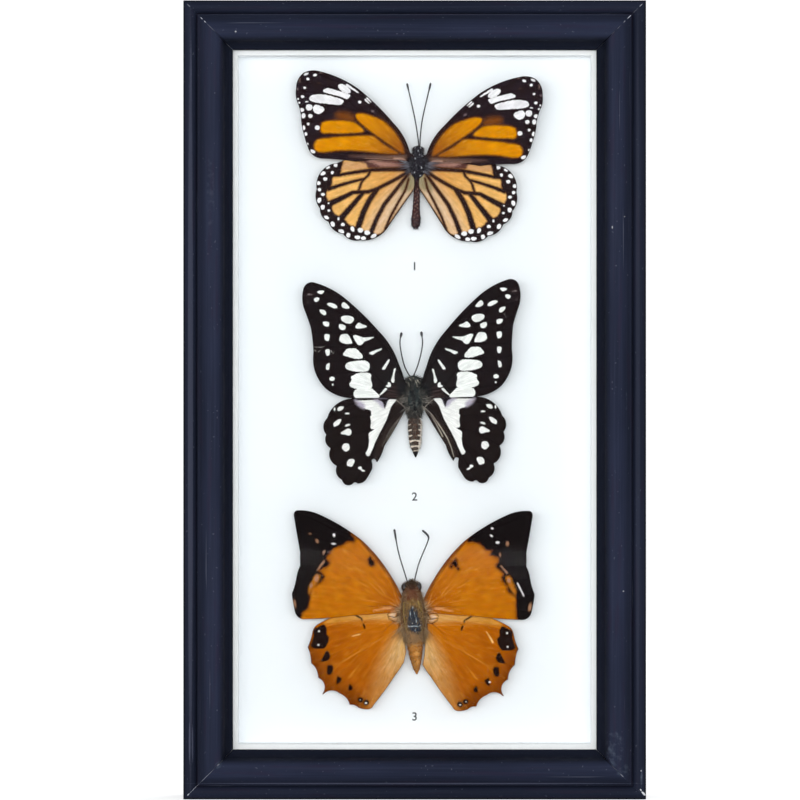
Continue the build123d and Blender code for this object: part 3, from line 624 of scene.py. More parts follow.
def wing(node, setting, side, veins, masks, lift, material):
    """Two polar grids round the wing's middle, joined at the rim. A place is at share t of the
    way from the middle to the outline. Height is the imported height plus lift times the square
    of the distance from the root, plus a bell across each vein, less the membrane's sag."""
    middle, rim = packed_outline(node)
    loop = np.concatenate([rim, rim[:1]])
    run = np.concatenate([[0], np.cumsum(np.hypot(*np.diff(loop, axis=0).T))])
    at = np.union1d(run[:-1], np.arange(0, run[-1], OUTLINE_STEP))
    outline = np.stack([np.interp(at, run, loop[:, 0]), np.interp(at, run, loop[:, 1])], 1)
    columns = len(outline)
    share = np.concatenate([np.arange(1, RINGS) / RINGS, [1 - 0.25 / RINGS, 1.0]])
    low_share = np.array([0.35, 0.7, 0.9, 0.985])

    def ring_points(shares):
        flat = middle + shares[:, None, None] * (outline - middle)
        return np.concatenate([middle[None], flat.reshape(-1, 2)])

    top, low = ring_points(share), ring_points(low_share)
    both = np.concatenate([top, low])
    (mid_x, mid_z), (shift_x, shift_z, turn) = setting
    angle = np.radians(turn)
    off_x, off_z = both[:, 0] - mid_x - shift_x, both[:, 1] - mid_z - shift_z
    x = side * (off_x * np.cos(angle) + off_z * np.sin(angle))
    z = off_z * np.cos(angle) - off_x * np.sin(angle)
    reach = np.hypot(x, z)
    vein = marks(x, z, strokes=[(0.0, 0.0, points) for points in veins])
    rim_gap = np.concatenate([[1], np.repeat(1 - share, columns), [1], np.repeat(1 - low_share, columns)])
    edge = np.clip(rim_gap * 22.0 / 0.7, 0, 1)
    low_corner, high_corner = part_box(node)
    height = BACK_Y - high_corner[1] / MM + 0.08 + lift * (reach / 40.0) ** 2
    height -= SAG * (1 - np.exp(-((vein / 1.3) ** 2))) * edge
    count = len(top)
    height[:count] += WING_THICKNESS * (0.25 + 0.75 * edge[:count])
    height[:count] += VEIN_RELIEF * np.exp(-((vein[:count] / VEIN_HALF_WIDTH) ** 2)) * edge[:count]
    points = np.stack([both[:, 0], BACK_Y - height, both[:, 1]], 1)
    spoke = np.arange(columns)
    beside = (spoke + 1) % columns
    faces = [grid_faces(len(share), columns, 1), grid_faces(len(low_share), columns, count + 1)]
    top_rim = 1 + (len(share) - 1) * columns
    low_rim = count + 1 + (len(low_share) - 1) * columns
    faces.append(np.stack([top_rim + spoke, top_rim + beside, low_rim + beside, low_rim + spoke], 1))
    faces = np.concatenate(faces).tolist()
    faces += np.stack([np.zeros(columns, int), 1 + spoke, 1 + beside], 1).tolist()
    faces += np.stack([np.full(columns, count), count + 1 + spoke, count + 1 + beside], 1).tolist()
    fields = {name: marks(x, z, **shapes) for name, shapes in masks.items()}
    fields["vein"] = vein
    fields["reach"] = reach
    spoke_length = np.hypot(*(outline - middle).T)
    gap = rim_gap[1:count].reshape(len(share), -1) * spoke_length
    low_gap = rim_gap[count + 1:].reshape(len(low_share), -1) * spoke_length
    fields["rim"] = np.concatenate([[9.0], gap.ravel(), [9.0], low_gap.ravel()])
    fields["scales"] = np.stack([np.arctan2(z, x) * 24.0, reach, np.zeros(len(x))], 1)
    return piece(node + "_scales", points, faces, replaces=node, material=material,
                 fields=fields)


CLEAN_MARKS = ("white", "black", "dark")


def scaled_wing(name, near, far, reach_end, layers, vein_color, vein_share, streak=0.12,
                mottle=((0.95, 0.9, 0.84), (1.04, 1.05, 1.08)), speck=0.0, glint=(0.8, 0.4, 0.1, 1.0),
                scratch=0.0, glint_mark=None):
    """Scales from the near colour at the root to the far colour at reach_end mm, streaked along
    the wing. Each layer (field, near colour, far colour, softness, raggedness) covers the ones
    before it where its field is below 0; a field's name may end in +mm, which widens it. Fine
    veins are drawn over the first colour. Outside the black and white marks the colour is tinted
    in clouds between the two mottle tints, with dark specks, and streaks of the glint colour,
    which are painted glints of the scales' sheen, on the one named mark alone where one is given."""
    material, tree = new_material(name)
    scales = field(tree, "scales", vector=True)
    fine = noise(tree, scales, 1.6, 4.0, (1.0, 0.14, 1.0))
    cloudy = noise(tree, scales, 0.35, 3.0)
    grain = noise(tree, scales, 8.0, 2.0, (1.0, 0.5, 1.0))
    ragged = math(tree, "SUBTRACT", noise(tree, scales, 2.4, 3.0, (1.0, 0.6, 1.0)), 0.5)
    outward = ramp(tree, field(tree, "reach"), 3.0, reach_end)
    color = blend(tree, outward, near, far)
    veined = ramp(tree, field(tree, "vein"), 0.30, 0.12, 0.0, vein_share)
    color = blend(tree, veined, color, vein_color)
    bare, lit = 1.0, 1.0
    for mask, first, second, soft, rag in layers:
        mask, _, wider = mask.partition("+")
        distance = math(tree, "ADD", field(tree, mask), math(tree, "MULTIPLY", ragged, rag))
        distance = math(tree, "SUBTRACT", distance, float(wider or 0))
        cover = ramp(tree, distance, soft, -soft)
        color = blend(tree, cover, color, blend(tree, outward, first, second))
        if mask in CLEAN_MARKS:
            bare = math(tree, "MULTIPLY", bare, math(tree, "SUBTRACT", 1.0, cover))
        if mask == glint_mark:
            lit = cover
    tone = math(tree, "MULTIPLY", ramp(tree, fine, 0.3, 0.75, 1.0 - streak, 1.0 + streak),
                ramp(tree, grain, 0.3, 0.7, 0.93, 1.07))
    tone = math(tree, "MULTIPLY", tone, ramp(tree, cloudy, 0.3, 0.7, 0.94, 1.06))
    gray = shade(tree, "CombineColor")
    for socket in gray.inputs:
        tree.links.new(tone, socket)
    color = blend(tree, 1.0, color, gray.outputs[0], "MULTIPLY")
    clouds = ramp(tree, noise(tree, scales, 0.6, 5.0, (1.0, 0.5, 1.0)), 0.36, 0.64)
    tint = blend(tree, clouds, (*mottle[0], 1.0), (*mottle[1], 1.0))
    dark = ramp(tree, noise(tree, scales, 1.5, 4.0, (1.0, 0.6, 1.0)), 0.57, 0.70, 0.0, speck)
    tint = blend(tree, dark, tint, (0.5, 0.36, 0.2, 1.0))
    color = blend(tree, bare, color, blend(tree, 1.0, color, tint, "MULTIPLY"))
    # Streaks of the glint colour, by the scratch share, are painted glints of the scales' sheen.
    light = ramp(tree, noise(tree, scales, 1.5, 4.0, (1.0, 0.25, 1.0)), 0.58, 0.72, 0.0, scratch)
    light = math(tree, "MULTIPLY", math(tree, "MULTIPLY", bare, lit), light)
    color = blend(tree, light, color, glint)
    surface(tree, color, 0.75, grain, 0.3, 0.03, Specular_IOR_Level=0.02)
    return material


def specimen_wings(name, middle, roots, hind_roots, fore, hind, own=({}, {})):
    """Both pairs of wings of one specimen; own holds the left wings' marks that differ."""
    for label, lift, turns, (veins, masks, material), left_masks in (
        ("forewing", 0.9, roots, fore, own[0]),
        ("hindwing", 0.45, hind_roots, hind, own[1]),
    ):
        for side, side_name in ((1, "right"), (-1, "left")):
            node = f"{name}_{side_name}_{label}"
            side_masks = masks if side > 0 else {**masks, **left_masks}
            wing(node, (middle, turns[side]), side, veins, side_masks, lift, material)


STRAIGHT = (0.0, 0.0, 0.0)

# ---- Upper specimen's wings ------------------------------------------------------------------
# Orange cells ruled by black veins, a black tip crossed by a white bar in three parts, and a
# black border with two rows of white dots.

UPPER_MIDDLE = (1.3, 206.2)
UPPER_FORE_VEINS = (
    ((2.4, 3.6), (9.5, 12.9), (20.5, 22.3), (33.0, 27.6)),
    ((2.4, 3.2), (7.1, 8.4), (11.0, 12.2), (15.6, 15.4), (20.4, 16.6)),
    ((20.4, 16.6), (20.1, 13.8), (14.9, 9.7), (10.4, 6.8), (2.4, 2.2)),
    ((18.0, 16.0), (22.4, 21.4), (26.6, 22.6), (33.1, 24.4), (39.5, 25.2)),
    ((20.4, 16.6), (24.0, 19.8), (31.2, 21.1), (40.0, 22.0)),
    ((20.3, 15.8), (25.0, 17.4), (35.0, 17.2), (39.7, 17.5)),
    ((20.2, 14.8), (26.6, 15.2), (31.8, 14.6), (38.7, 14.6)),
    ((20.1, 13.8), (22.1, 12.8), (26.6, 12.5), (38.0, 11.8)),
    ((14.9, 9.7), (17.5, 8.5), (23.4, 8.2), (37.2, 7.8)),
    ((2.4, 1.4), (13.6, 2.2), (23.4, 2.3), (35.4, 2.6)),
)
UPPER_FORE_MARKS = {
    "fuzz": {"ovals": [(2.4, 0.8, 3.0, 4.6, 0)]},
    "mauve": {"strokes": [(0.9, 0.2, ((2.5, 1.3), (12.0, 1.3), (22.0, 1.3))),
                          (0.5, 0.2, ((2.5, 0.4), (14.0, 0.6)))]},
    "pinkish": {"strokes": [(0.12, 0.3, ((3.2, 0.5), (4.9, 1.0), (7.6, 1.1))),
                            (0.1, 0.1, ((6.0, 0.4), (12.0, 0.7), (17.0, 0.8)))]},
    "orange": {"areas": [
        [(4.6, 3.0), (5.0, 4.8), (6.2, 7.3), (8.0, 9.8), (10.0, 11.8), (12.2, 13.3), (15.0, 14.3),
         (17.4, 15.0), (19.5, 15.2), (20.5, 14.7), (20.2, 13.7), (19.2, 12.5), (16.9, 10.6),
         (13.9, 8.6), (11.0, 6.7), (8.0, 4.8), (5.9, 3.4)],
        [(18.0, 9.5), (19.8, 11.4), (21.5, 12.3), (24.5, 12.6), (28.7, 12.5), (31.0, 11.9),
         (31.7, 11.0), (31.9, 9.8), (31.2, 8.6), (28.7, 8.6), (24.5, 8.7), (21.5, 9.0)],
        [(6.6, 2.8), (8.6, 4.0), (11.0, 5.3), (12.8, 6.6), (14.2, 7.7), (15.6, 8.1), (17.6, 8.0),
         (21.5, 7.7), (25.7, 7.3), (30.1, 6.7), (32.5, 6.2), (33.5, 5.1), (33.7, 3.9), (33.0, 2.7),
         (31.0, 2.3), (28.6, 2.6), (25.7, 3.1), (21.5, 3.3), (16.8, 3.1), (10.9, 2.7)],
    ]},
    "rust": {"areas": [[(21.6, 13.4), (22.2, 14.5), (24.0, 15.1), (26.0, 15.1), (26.8, 14.4),
                        (26.0, 13.6), (24.0, 13.1), (22.4, 13.0)]]},
    "dusty": {"ovals": [(39.3, 25.2, 0.5, 1.2, 0), (39.9, 22.4, 0.6, 0.7, 0), (32.4, 28.1, 0.8, 0.5, 0),
                        (15.2, 16.2, 0.9, 0.6, 20), (33, 24.6, 0.5, 0.3, 0)]},
    "white": {
        "areas": [
            [(22.6, 22.4), (23.7, 23.8), (25.3, 24.6), (26.6, 24.3), (26.5, 23.2), (25.3, 22.2),
             (23.9, 21.6), (22.9, 21.8)],
            [(22.8, 21.2), (24.7, 21.8), (27.3, 22.5), (29.9, 23.1), (31.3, 22.6), (31.4, 21.8),
             (28.6, 21.1), (26.0, 20.5), (24.0, 19.8), (23.2, 20.1)],
            [(24.8, 19.2), (26.0, 19.8), (28.6, 20.5), (31.8, 21.0), (34.7, 20.7), (35.9, 19.9),
             (35.6, 18.8), (33.1, 18.2), (29.9, 18.0), (26.4, 17.8), (25.2, 18.2)],
            [(30.9, 16.1), (32.2, 17.2), (33.9, 17.5), (34.7, 16.4), (34.0, 14.9), (32.4, 14.6)],
        ],
        "ovals": [
            (34.4, 27.2, 1.3, 0.9, -30), (37.3, 27.4, 1.7, 0.8, -25), (36.7, 25.8, 1.0, 0.9, 0),
            (37.6, 22.9, 0.9, 0.8, 0), (38.2, 20.0, 1.1, 1.0, 0), (36.8, 18.4, 1.0, 0.5, 0),
            (39.6, 19.2, 0.5, 0.6, 0), (39.2, 18.0, 0.7, 0.7, 0), (35.9, 16.6, 2.2, 2.1, 0),
            (38.2, 15.7, 1.3, 1.3, 0), (37.7, 13.8, 1.4, 1.7, 0), (35.4, 13.8, 1.4, 1.3, 0),
            (36.0, 11.2, 1.0, 0.9, 0), (37.4, 9.9, 1.0, 1.5, 0), (33.0, 10.1, 1.6, 1.5, 0),
            (36.7, 7.9, 1.0, 1.2, 0), (36.0, 4.7, 0.7, 0.8, 0), (34.2, 2.3, 1.8, 1.1, 20),
            (19.5, 19.0, 1.2, 0.9, 20),
        ],
        "strokes": [
            (0.16, 0.26, ((15.9, 19.2), (17.2, 20.3))), (0.2, 0.3, ((16.5, 18.7), (17.7, 19.8))),
            (0.22, 0.42, ((20.2, 22.1), (21.5, 22.9), (22.7, 23.6), (23.8, 24.3))),
        ],
    },
}
UPPER_FORE_SCALES = scaled_wing(
    "upper_forewing_scales", srgb(56, 35, 30), srgb(37, 26, 32), 26.0,
    [
        ("mauve", srgb(122, 92, 80), srgb(84, 60, 58), 0.7, 1.2),
        ("pinkish", srgb(184, 146, 132), srgb(120, 88, 82), 0.25, 0.5),
        ("orange+0.45", srgb(92, 52, 26), srgb(98, 52, 22), 0.5, 0.7),
        ("rust+0.3", srgb(106, 60, 26), srgb(122, 68, 26), 1.4, 2.6),
        ("orange", srgb(150, 84, 26), srgb(220, 142, 2), 0.45, 1.1),
        ("dusty", srgb(110, 92, 94), srgb(120, 100, 102), 0.3, 0.3),
        ("white", srgb(238, 234, 236), srgb(242, 239, 242), 0.11, 0.45),
        ("fuzz", srgb(40, 28, 33), srgb(40, 28, 33), 0.9, 2.4),
        ("rim+0.2", srgb(40, 27, 29), srgb(34, 24, 28), 0.08, 0.35),
    ],
    srgb(28, 18, 20), 0.6, 0.12, ((0.95, 0.86, 0.7), (1.03, 1.06, 1.1)), 0.35, srgb(236, 178, 74), 0.55,
    "orange")
UPPER_HIND_VEINS = (
    ((2.0, -1.2), (14.0, -2.0), (22.0, -3.5), (31.0, -5.6)),
    ((2.0, -2.2), (9.0, -6.3), (15.0, -9.2), (20.0, -9.6), (25.0, -12.3), (31.2, -15.0)),
    ((14.7, -2.1), (16.5, -5.0), (18.3, -9.3)),
    ((16.5, -5.0), (24.0, -7.3), (31.9, -9.2)),
    ((16.8, -9.8), (21.0, -15.0), (27.2, -19.2)),
    ((12.5, -8.6), (16.3, -16.0), (19.4, -24.6)),
    ((2.0, -3.4), (6.0, -8.5), (11.5, -18.0), (14.0, -24.3)),
    ((1.6, -4.0), (2.9, -8.0), (7.5, -17.0), (9.4, -21.6)),
)
UPPER_HIND_MARKS = {
    "cream": {"areas": [[(2.6, -3.2), (7.2, -8.5), (11.2, -13.5), (14, -18), (15.4, -23), (13, -27),
                         (-2, -10)]]},
    "blush": {"areas": [[(25.6, 0.2), (17.8, 0.3), (16.0, -0.4), (16.4, -1.6), (22, -2.4), (25.6, -2.2)]]},
    "mauve": {"areas": [[(24.8, 1.6), (19.8, 0.9), (16.6, -0.6), (14.4, -1.6), (2.0, -1.4), (2.0, 1.8)]]},
    "pinkish": {"areas": [[(17.4, 1.6), (15.0, 1.4), (11.6, 0.8), (6.6, 0.4), (4.4, -0.4),
                           (8.0, -0.7), (11.4, -0.6), (13.4, 0.2)]]},
    "fuzz": {"ovals": [(2.4, -1.0, 2.8, 3.4, 0)]},
    "down": {"areas": [[(-2, -3.0), (2.6, -3.2), (4.6, -6.0), (4.0, -9.0), (1.0, -8.0), (-2, -6.0)]]},
    "dark": {
        "strokes": [
            (0.6, 0.4, ((2, -1.3), (8, -1.6), (14, -2), (18, -2.7), (22, -3.5), (25, -4.2))),
            (0.45, 0.5, ((2, -2), (6, -4.6), (9, -6.3), (12, -8), (15, -9.2), (18, -9.4), (20, -9.6))),
            (0.3, 0.25, ((14.7, -2.5), (15.3, -3.9), (16.5, -5), (17.4, -6.2), (18.3, -9.2))),
            (0.3, 0.5, ((16.5, -5), (20, -6), (24, -7.3), (28, -8.8))),
            (0.5, 0.9, ((20, -9.6), (22.5, -11), (25, -12.3), (28, -13.9))),
            (0.55, 0.85, ((16.8, -9.6), (19, -12.5), (21, -15), (23.4, -18))),
            (0.7, 0.85, ((12.3, -8.3), (14.6, -12), (16.4, -16), (17.9, -21))),
            (0.4, 0.65, ((2.4, -3), (6, -8.1), (9.6, -13), (12, -18), (13.9, -23.2))),
            (0.24, 0.3, ((2.1, -4.5), (2.9, -8), (5, -12), (7.5, -17), (9.2, -21.7))),
            (0.16, 0.2, ((-1.3, -5.6), (0.4, -8.2), (9.2, -21.7))),
        ],
        "areas": [
            [(24, 1), (24.2, -1.8), (24.7, -4.2), (26.9, -5), (27.1, -7.4), (28.4, -9), (28.8, -11),
             (28, -12.8), (26.8, -13.9), (26.7, -15.4), (25.6, -17), (23.4, -17.9), (22.2, -18.9),
             (21.1, -20.1), (19.4, -20.7), (17.6, -21.1), (16.4, -21.9), (14.6, -22.2), (13.3, -22),
             (12.2, -23), (10.4, -22.7), (9, -21.4), (8.5, -25), (14, -28), (22, -28), (30, -22),
             (35, -10), (33, -2), (28, 2)],
        ],
    },
    "white": {"ovals": [
        (26, -0.9, 1.2, 1.4, 0), (28.5, -1.8, 1.5, 0.9, -40), (27, -3.4, 1.0, 1.0, 0),
        (30, -3.8, 1.8, 1.2, -30), (29.2, -5.6, 1.3, 1.2, 0), (31.4, -7, 1.4, 1.3, 0),
        (31, -9.1, 1.2, 1.1, 0), (29.8, -10.6, 1.2, 1.0, 0), (30.9, -12.6, 1.3, 1.8, 20),
        (29.7, -14.8, 1.4, 1.6, 0), (27.8, -13.5, 0.6, 0.6, 0), (27.6, -15.8, 0.9, 0.8, 0),
        (28.3, -18.1, 1.7, 1.1, 25), (24.4, -18.4, 0.7, 1.1, 0), (26.2, -20.2, 1.3, 1.8, -20),
        (22.9, -20.2, 1.3, 1.1, 0), (19.7, -21.5, 1.2, 1.8, -20), (23.3, -22.4, 2.0, 1.2, 20),
        (17.1, -21.8, 1.8, 1.5, 0), (14.9, -22.5, 1.9, 1.5, 0), (21, -23.6, 1.4, 1.6, 0),
        (18, -24.2, 1.8, 1.3, 0), (16, -24.4, 1.7, 1.3, 0), (12.7, -23.5, 2.0, 1.2, -35),
    ]},
}
UPPER_HIND_SCALES = scaled_wing(
    "upper_hindwing_scales", srgb(214, 150, 76), srgb(238, 184, 108), 27.0,
    [
        ("cream", srgb(208, 182, 154), srgb(226, 188, 150), 4.2, 1.6),
        ("down", srgb(150, 138, 108), srgb(170, 150, 118), 0.8, 2.6),
        ("mauve", srgb(98, 62, 58), srgb(84, 52, 48), 0.4, 0.8),
        ("blush", srgb(206, 152, 108), srgb(214, 162, 110), 0.55, 1.2),
        ("pinkish", srgb(160, 116, 106), srgb(196, 152, 136), 0.6, 2.6),
        ("dark+0.25", srgb(112, 70, 40), srgb(124, 76, 42), 0.4, 0.7),
        ("dark", srgb(54, 32, 26), srgb(38, 26, 27), 0.25, 0.6),
        ("white", srgb(240, 236, 238), srgb(244, 241, 243), 0.11, 0.5),
        ("fuzz", srgb(40, 28, 33), srgb(40, 28, 33), 0.8, 2.2),
        ("rim+0.22", srgb(46, 32, 30), srgb(34, 24, 27), 0.08, 0.35),
    ],
    srgb(150, 100, 60), 0.3, 0.1, ((0.95, 0.91, 0.82), (1.03, 1.04, 1.06)), 0.2,
    srgb(246, 214, 160), 0.3)
specimen_wings(
    "upper", UPPER_MIDDLE, {1: STRAIGHT, -1: (-0.4, 0.6, -2.2)}, {1: STRAIGHT, -1: (-1.0, -0.3, -2.3)},
    (UPPER_FORE_VEINS, UPPER_FORE_MARKS, UPPER_FORE_SCALES),
    (UPPER_HIND_VEINS, UPPER_HIND_MARKS, UPPER_HIND_SCALES))

# ---- Middle specimen's wings -----------------------------------------------------------------
# Brown-black with milk-white windows between the veins, which run together into one white band
# down the hindwing, and a grey hairy fold beside the abdomen.

MIDDLE_MIDDLE = (0.16, 129.55)
MIDDLE_FORE_VEINS = (
    ((2.4, 5.6), (5.2, 12.5), (11.2, 22.6), (21.0, 33.0), (31.0, 38.3)),
    ((2.4, 5.0), (9.0, 17.6), (17.5, 26.4), (26.0, 32.8), (33.6, 36.4)),
    ((17.5, 26.4), (19.4, 23.0), (18.7, 18.2), (13.0, 9.4), (8.5, 3.4), (2.4, 1.8)),
    ((15.6, 24.6), (24.0, 29.4), (33.9, 32.6)),
    ((19.2, 24.6), (25.0, 25.0), (32.8, 27.6)),
    ((19.4, 22.4), (25.0, 22.6), (31.8, 23.2)),
    ((18.8, 18.4), (25.0, 18.2), (31.6, 18.6)),
    ((15.8, 13.6), (22.0, 13.4), (31.7, 13.9)),
    ((13.0, 9.4), (20.0, 9.2), (31.2, 9.4)),
    ((8.5, 3.4), (13.0, 3.9), (21.0, 4.0), (28.5, 5.0)),
)
MIDDLE_FORE_MARKS = {
    # Painted glints: pale grey streaks on the dark ground.
    "glint_streaks": {"strokes": [(0.1, 0.0, ((29.0, 28.0), (29.8, 26.6)))]},
    "fuzz": {"ovals": [(3.2, 2.4, 4.4, 5.4, 0)]},
    "hinge": {"strokes": [(0.12, 0.1, ((3.0, 1.3), (3.9, 1.0), (3.9, 0.2)))]},
    "haze": {"strokes": [(0.16, 0.08, ((3.0, 0.9), (5.4, 1.6), (8.8, 1.9))),
                         (0.14, 0.08, ((3.0, 1.6), (5.8, 2.6), (8.4, 3.1))),
                         (0.12, 0.05, ((5.0, 0.7), (9.5, 1.2))), (0.1, 0.05, ((3.2, 3.0), (7, 4.0)))],
             "ovals": [(32.6, 35.4, 1.0, 0.5, 0), (31.8, 35.3, 0.5, 0.4, 0), (33.1, 32.8, 0.5, 0.4, 0)]},
    "white": {
        "areas": [
            [(27.6, 36.3), (28.8, 36.5), (30, 36), (28.7, 35.3), (28, 35.7)],
            [(29.3, 34), (30.5, 34.3), (31.1, 33.7), (30.6, 32.9), (29.8, 33.1)],
            [(19.6, 30.6), (21.2, 32.3), (22.1, 31.9), (22.1, 30.9), (20.8, 30.2)],
            [(23.6, 30.8), (24.2, 31.7), (25.8, 32.4), (26.9, 32), (26.3, 31.3), (24.5, 30.5)],
            [(27.4, 29.6), (28.2, 30.1), (29.3, 30.3), (29.2, 29.4), (28.2, 28.5), (27.5, 28.6)],
            [(18.4, 26.8), (19.2, 27.6), (21, 28), (22.4, 27.6), (22.6, 26.8), (21.5, 25.8),
             (20, 25.3), (18.9, 25.7)],
            [(14.2, 24.2), (15.8, 24.9), (16.7, 25.5), (17.6, 24.9), (18, 24), (17.5, 23.6),
             (15.4, 23.7)],
            [(21.2, 24.4), (21.8, 25), (23.2, 25.2), (23.3, 24), (22.3, 23.3), (21.4, 23.6)],
            [(26.6, 25.9), (28.3, 26.4), (28.3, 25.1), (26.8, 24.7)],
            [(12.3, 20.6), (15.5, 20.6), (18.2, 21.5), (18.9, 21.1), (18.5, 20), (17.6, 18.5),
             (16.8, 18.1), (16, 18.5), (15.3, 19.2), (13.2, 20)],
            [(19.3, 19), (19.8, 20.5), (20.8, 21.9), (22.9, 21.7), (23.4, 20), (22.7, 19.3),
             (21.4, 18.8), (19.6, 18.8)],
            [(26.6, 22), (28.1, 22.1), (28.1, 20.4), (27.3, 20), (26.8, 20.4)],
            [(9.8, 16.8), (11.5, 16.4), (13.8, 15.6), (13.5, 15), (12.7, 14.9), (11.5, 15.6),
             (10, 16.3)],
            [(16.1, 14.4), (16.4, 15.2), (17.8, 16.8), (18.5, 17.2), (20.8, 17.2), (21.8, 16.4),
             (22.4, 15.5), (22.2, 15), (21, 14.6), (18.5, 13.8), (16.5, 13.8)],
            [(26.8, 17.2), (28.1, 17.1), (28.1, 16), (27.6, 15.2), (26.9, 15.5)],
            [(7.4, 13), (8, 12.8), (9.9, 10.3), (9.6, 9.9), (9, 10), (7.6, 12.3)],
            [(14, 11), (14.1, 12.1), (15.3, 13), (17.5, 13.1), (20, 12.9), (21.5, 12.3),
             (21.9, 11.3), (21.4, 10.5), (19.5, 9.8), (17, 9.5), (15.2, 9.5), (14.3, 10)],
            [(27, 12.7), (27.9, 12.4), (28.2, 11.3), (28, 10.6), (27.2, 10.8)],
            [(5.5, 10), (6.1, 9.8), (6.6, 8), (7.2, 6.2), (6.8, 5.5), (6.2, 5.7), (6, 8)],
            [(13.4, 5.2), (13.8, 7), (13.6, 8.2), (14.5, 9), (17.5, 9.1), (19.5, 8.4), (20.2, 8),
             (20.1, 6.8), (20.8, 5.8), (20.5, 4.8), (19, 4.1), (16, 3.9), (14, 4), (13.5, 4.6)],
            [(7.3, 4.8), (7.7, 5.6), (8.3, 5.6), (8.4, 4.9), (9.1, 4.5), (8.5, 4.1), (7.6, 4.1)],
            [(8.6, 3.7), (9.4, 3.7), (10.5, 2.5), (11.5, 1.3), (10.5, 1.8), (9, 3)],
            [(11.3, 1.5), (12.5, 2.8), (14, 4), (18, 4), (19.3, 3.3), (19.6, 2), (19, 1), (17, 0.5),
             (12, 0.6)],
        ],
        "ovals": [(26.4, 7.6, 1.7, 1.4, 0), (26.3, 5.7, 0.6, 0.6, 0)],
    },
}
MIDDLE_LEFT_FORE_MARKS = {
    # Painted glints: pale grey streaks on the dark ground.
    "glint_streaks": {"strokes": [(0.12, 0.04, ((32.2, 18.4), (30.0, 18.0), (28.4, 18.2))),
                          (0.1, 0.0, ((30.4, 16.6), (29.4, 17.4))), (0.08, 0.0, ((31.6, 17.2), (31.0, 16.4))),
                          (0.1, 0.06, ((26.4, 16.8), (25.6, 15.8), (25.2, 16.4)))]},
}
MIDDLE_FORE_SCALES = scaled_wing(
    "middle_forewing_scales", srgb(33, 30, 31), srgb(27, 20, 22), 26.0,
    [
        ("haze+0.4", srgb(42, 32, 32), srgb(42, 31, 32), 1.0, 1.2),
        ("haze", srgb(74, 56, 54), srgb(120, 108, 108), 0.14, 0.6),
        # Painted glints in pale grey.
        ("glint_streaks", srgb(150, 146, 142), srgb(150, 146, 142), 0.16, 0.5),
        ("fuzz", srgb(30, 30, 32), srgb(30, 30, 32), 1.0, 2.6),
        ("hinge", srgb(176, 158, 148), srgb(176, 158, 148), 0.1, 0.5),
        ("white", srgb(240, 241, 237), srgb(243, 244, 241), 0.12, 0.45),
    ],
    srgb(16, 12, 14), 0.5)
MIDDLE_HIND_VEINS = (
    ((2.6, -0.4), (8.0, 0.2), (20.0, -0.6), (28.2, -5.0)),
    ((8.2, -0.8), (13.0, -4.6), (20.0, -5.2), (28.6, -10.4)),
    ((8.2, -0.8), (10.2, -6.2), (13.2, -9.0), (20.0, -10.8), (27.3, -15.0)),
    ((10.2, -6.2), (14.6, -13.6), (25.4, -20.7)),
    ((14.6, -13.6), (23.8, -25.0)),
    ((2.6, -1.4), (8.6, -6.4), (13.4, -15.6), (20.0, -26.2)),
    ((3.0, -2.4), (7.5, -8.0), (11.0, -14.4), (12.8, -18.6)),
)
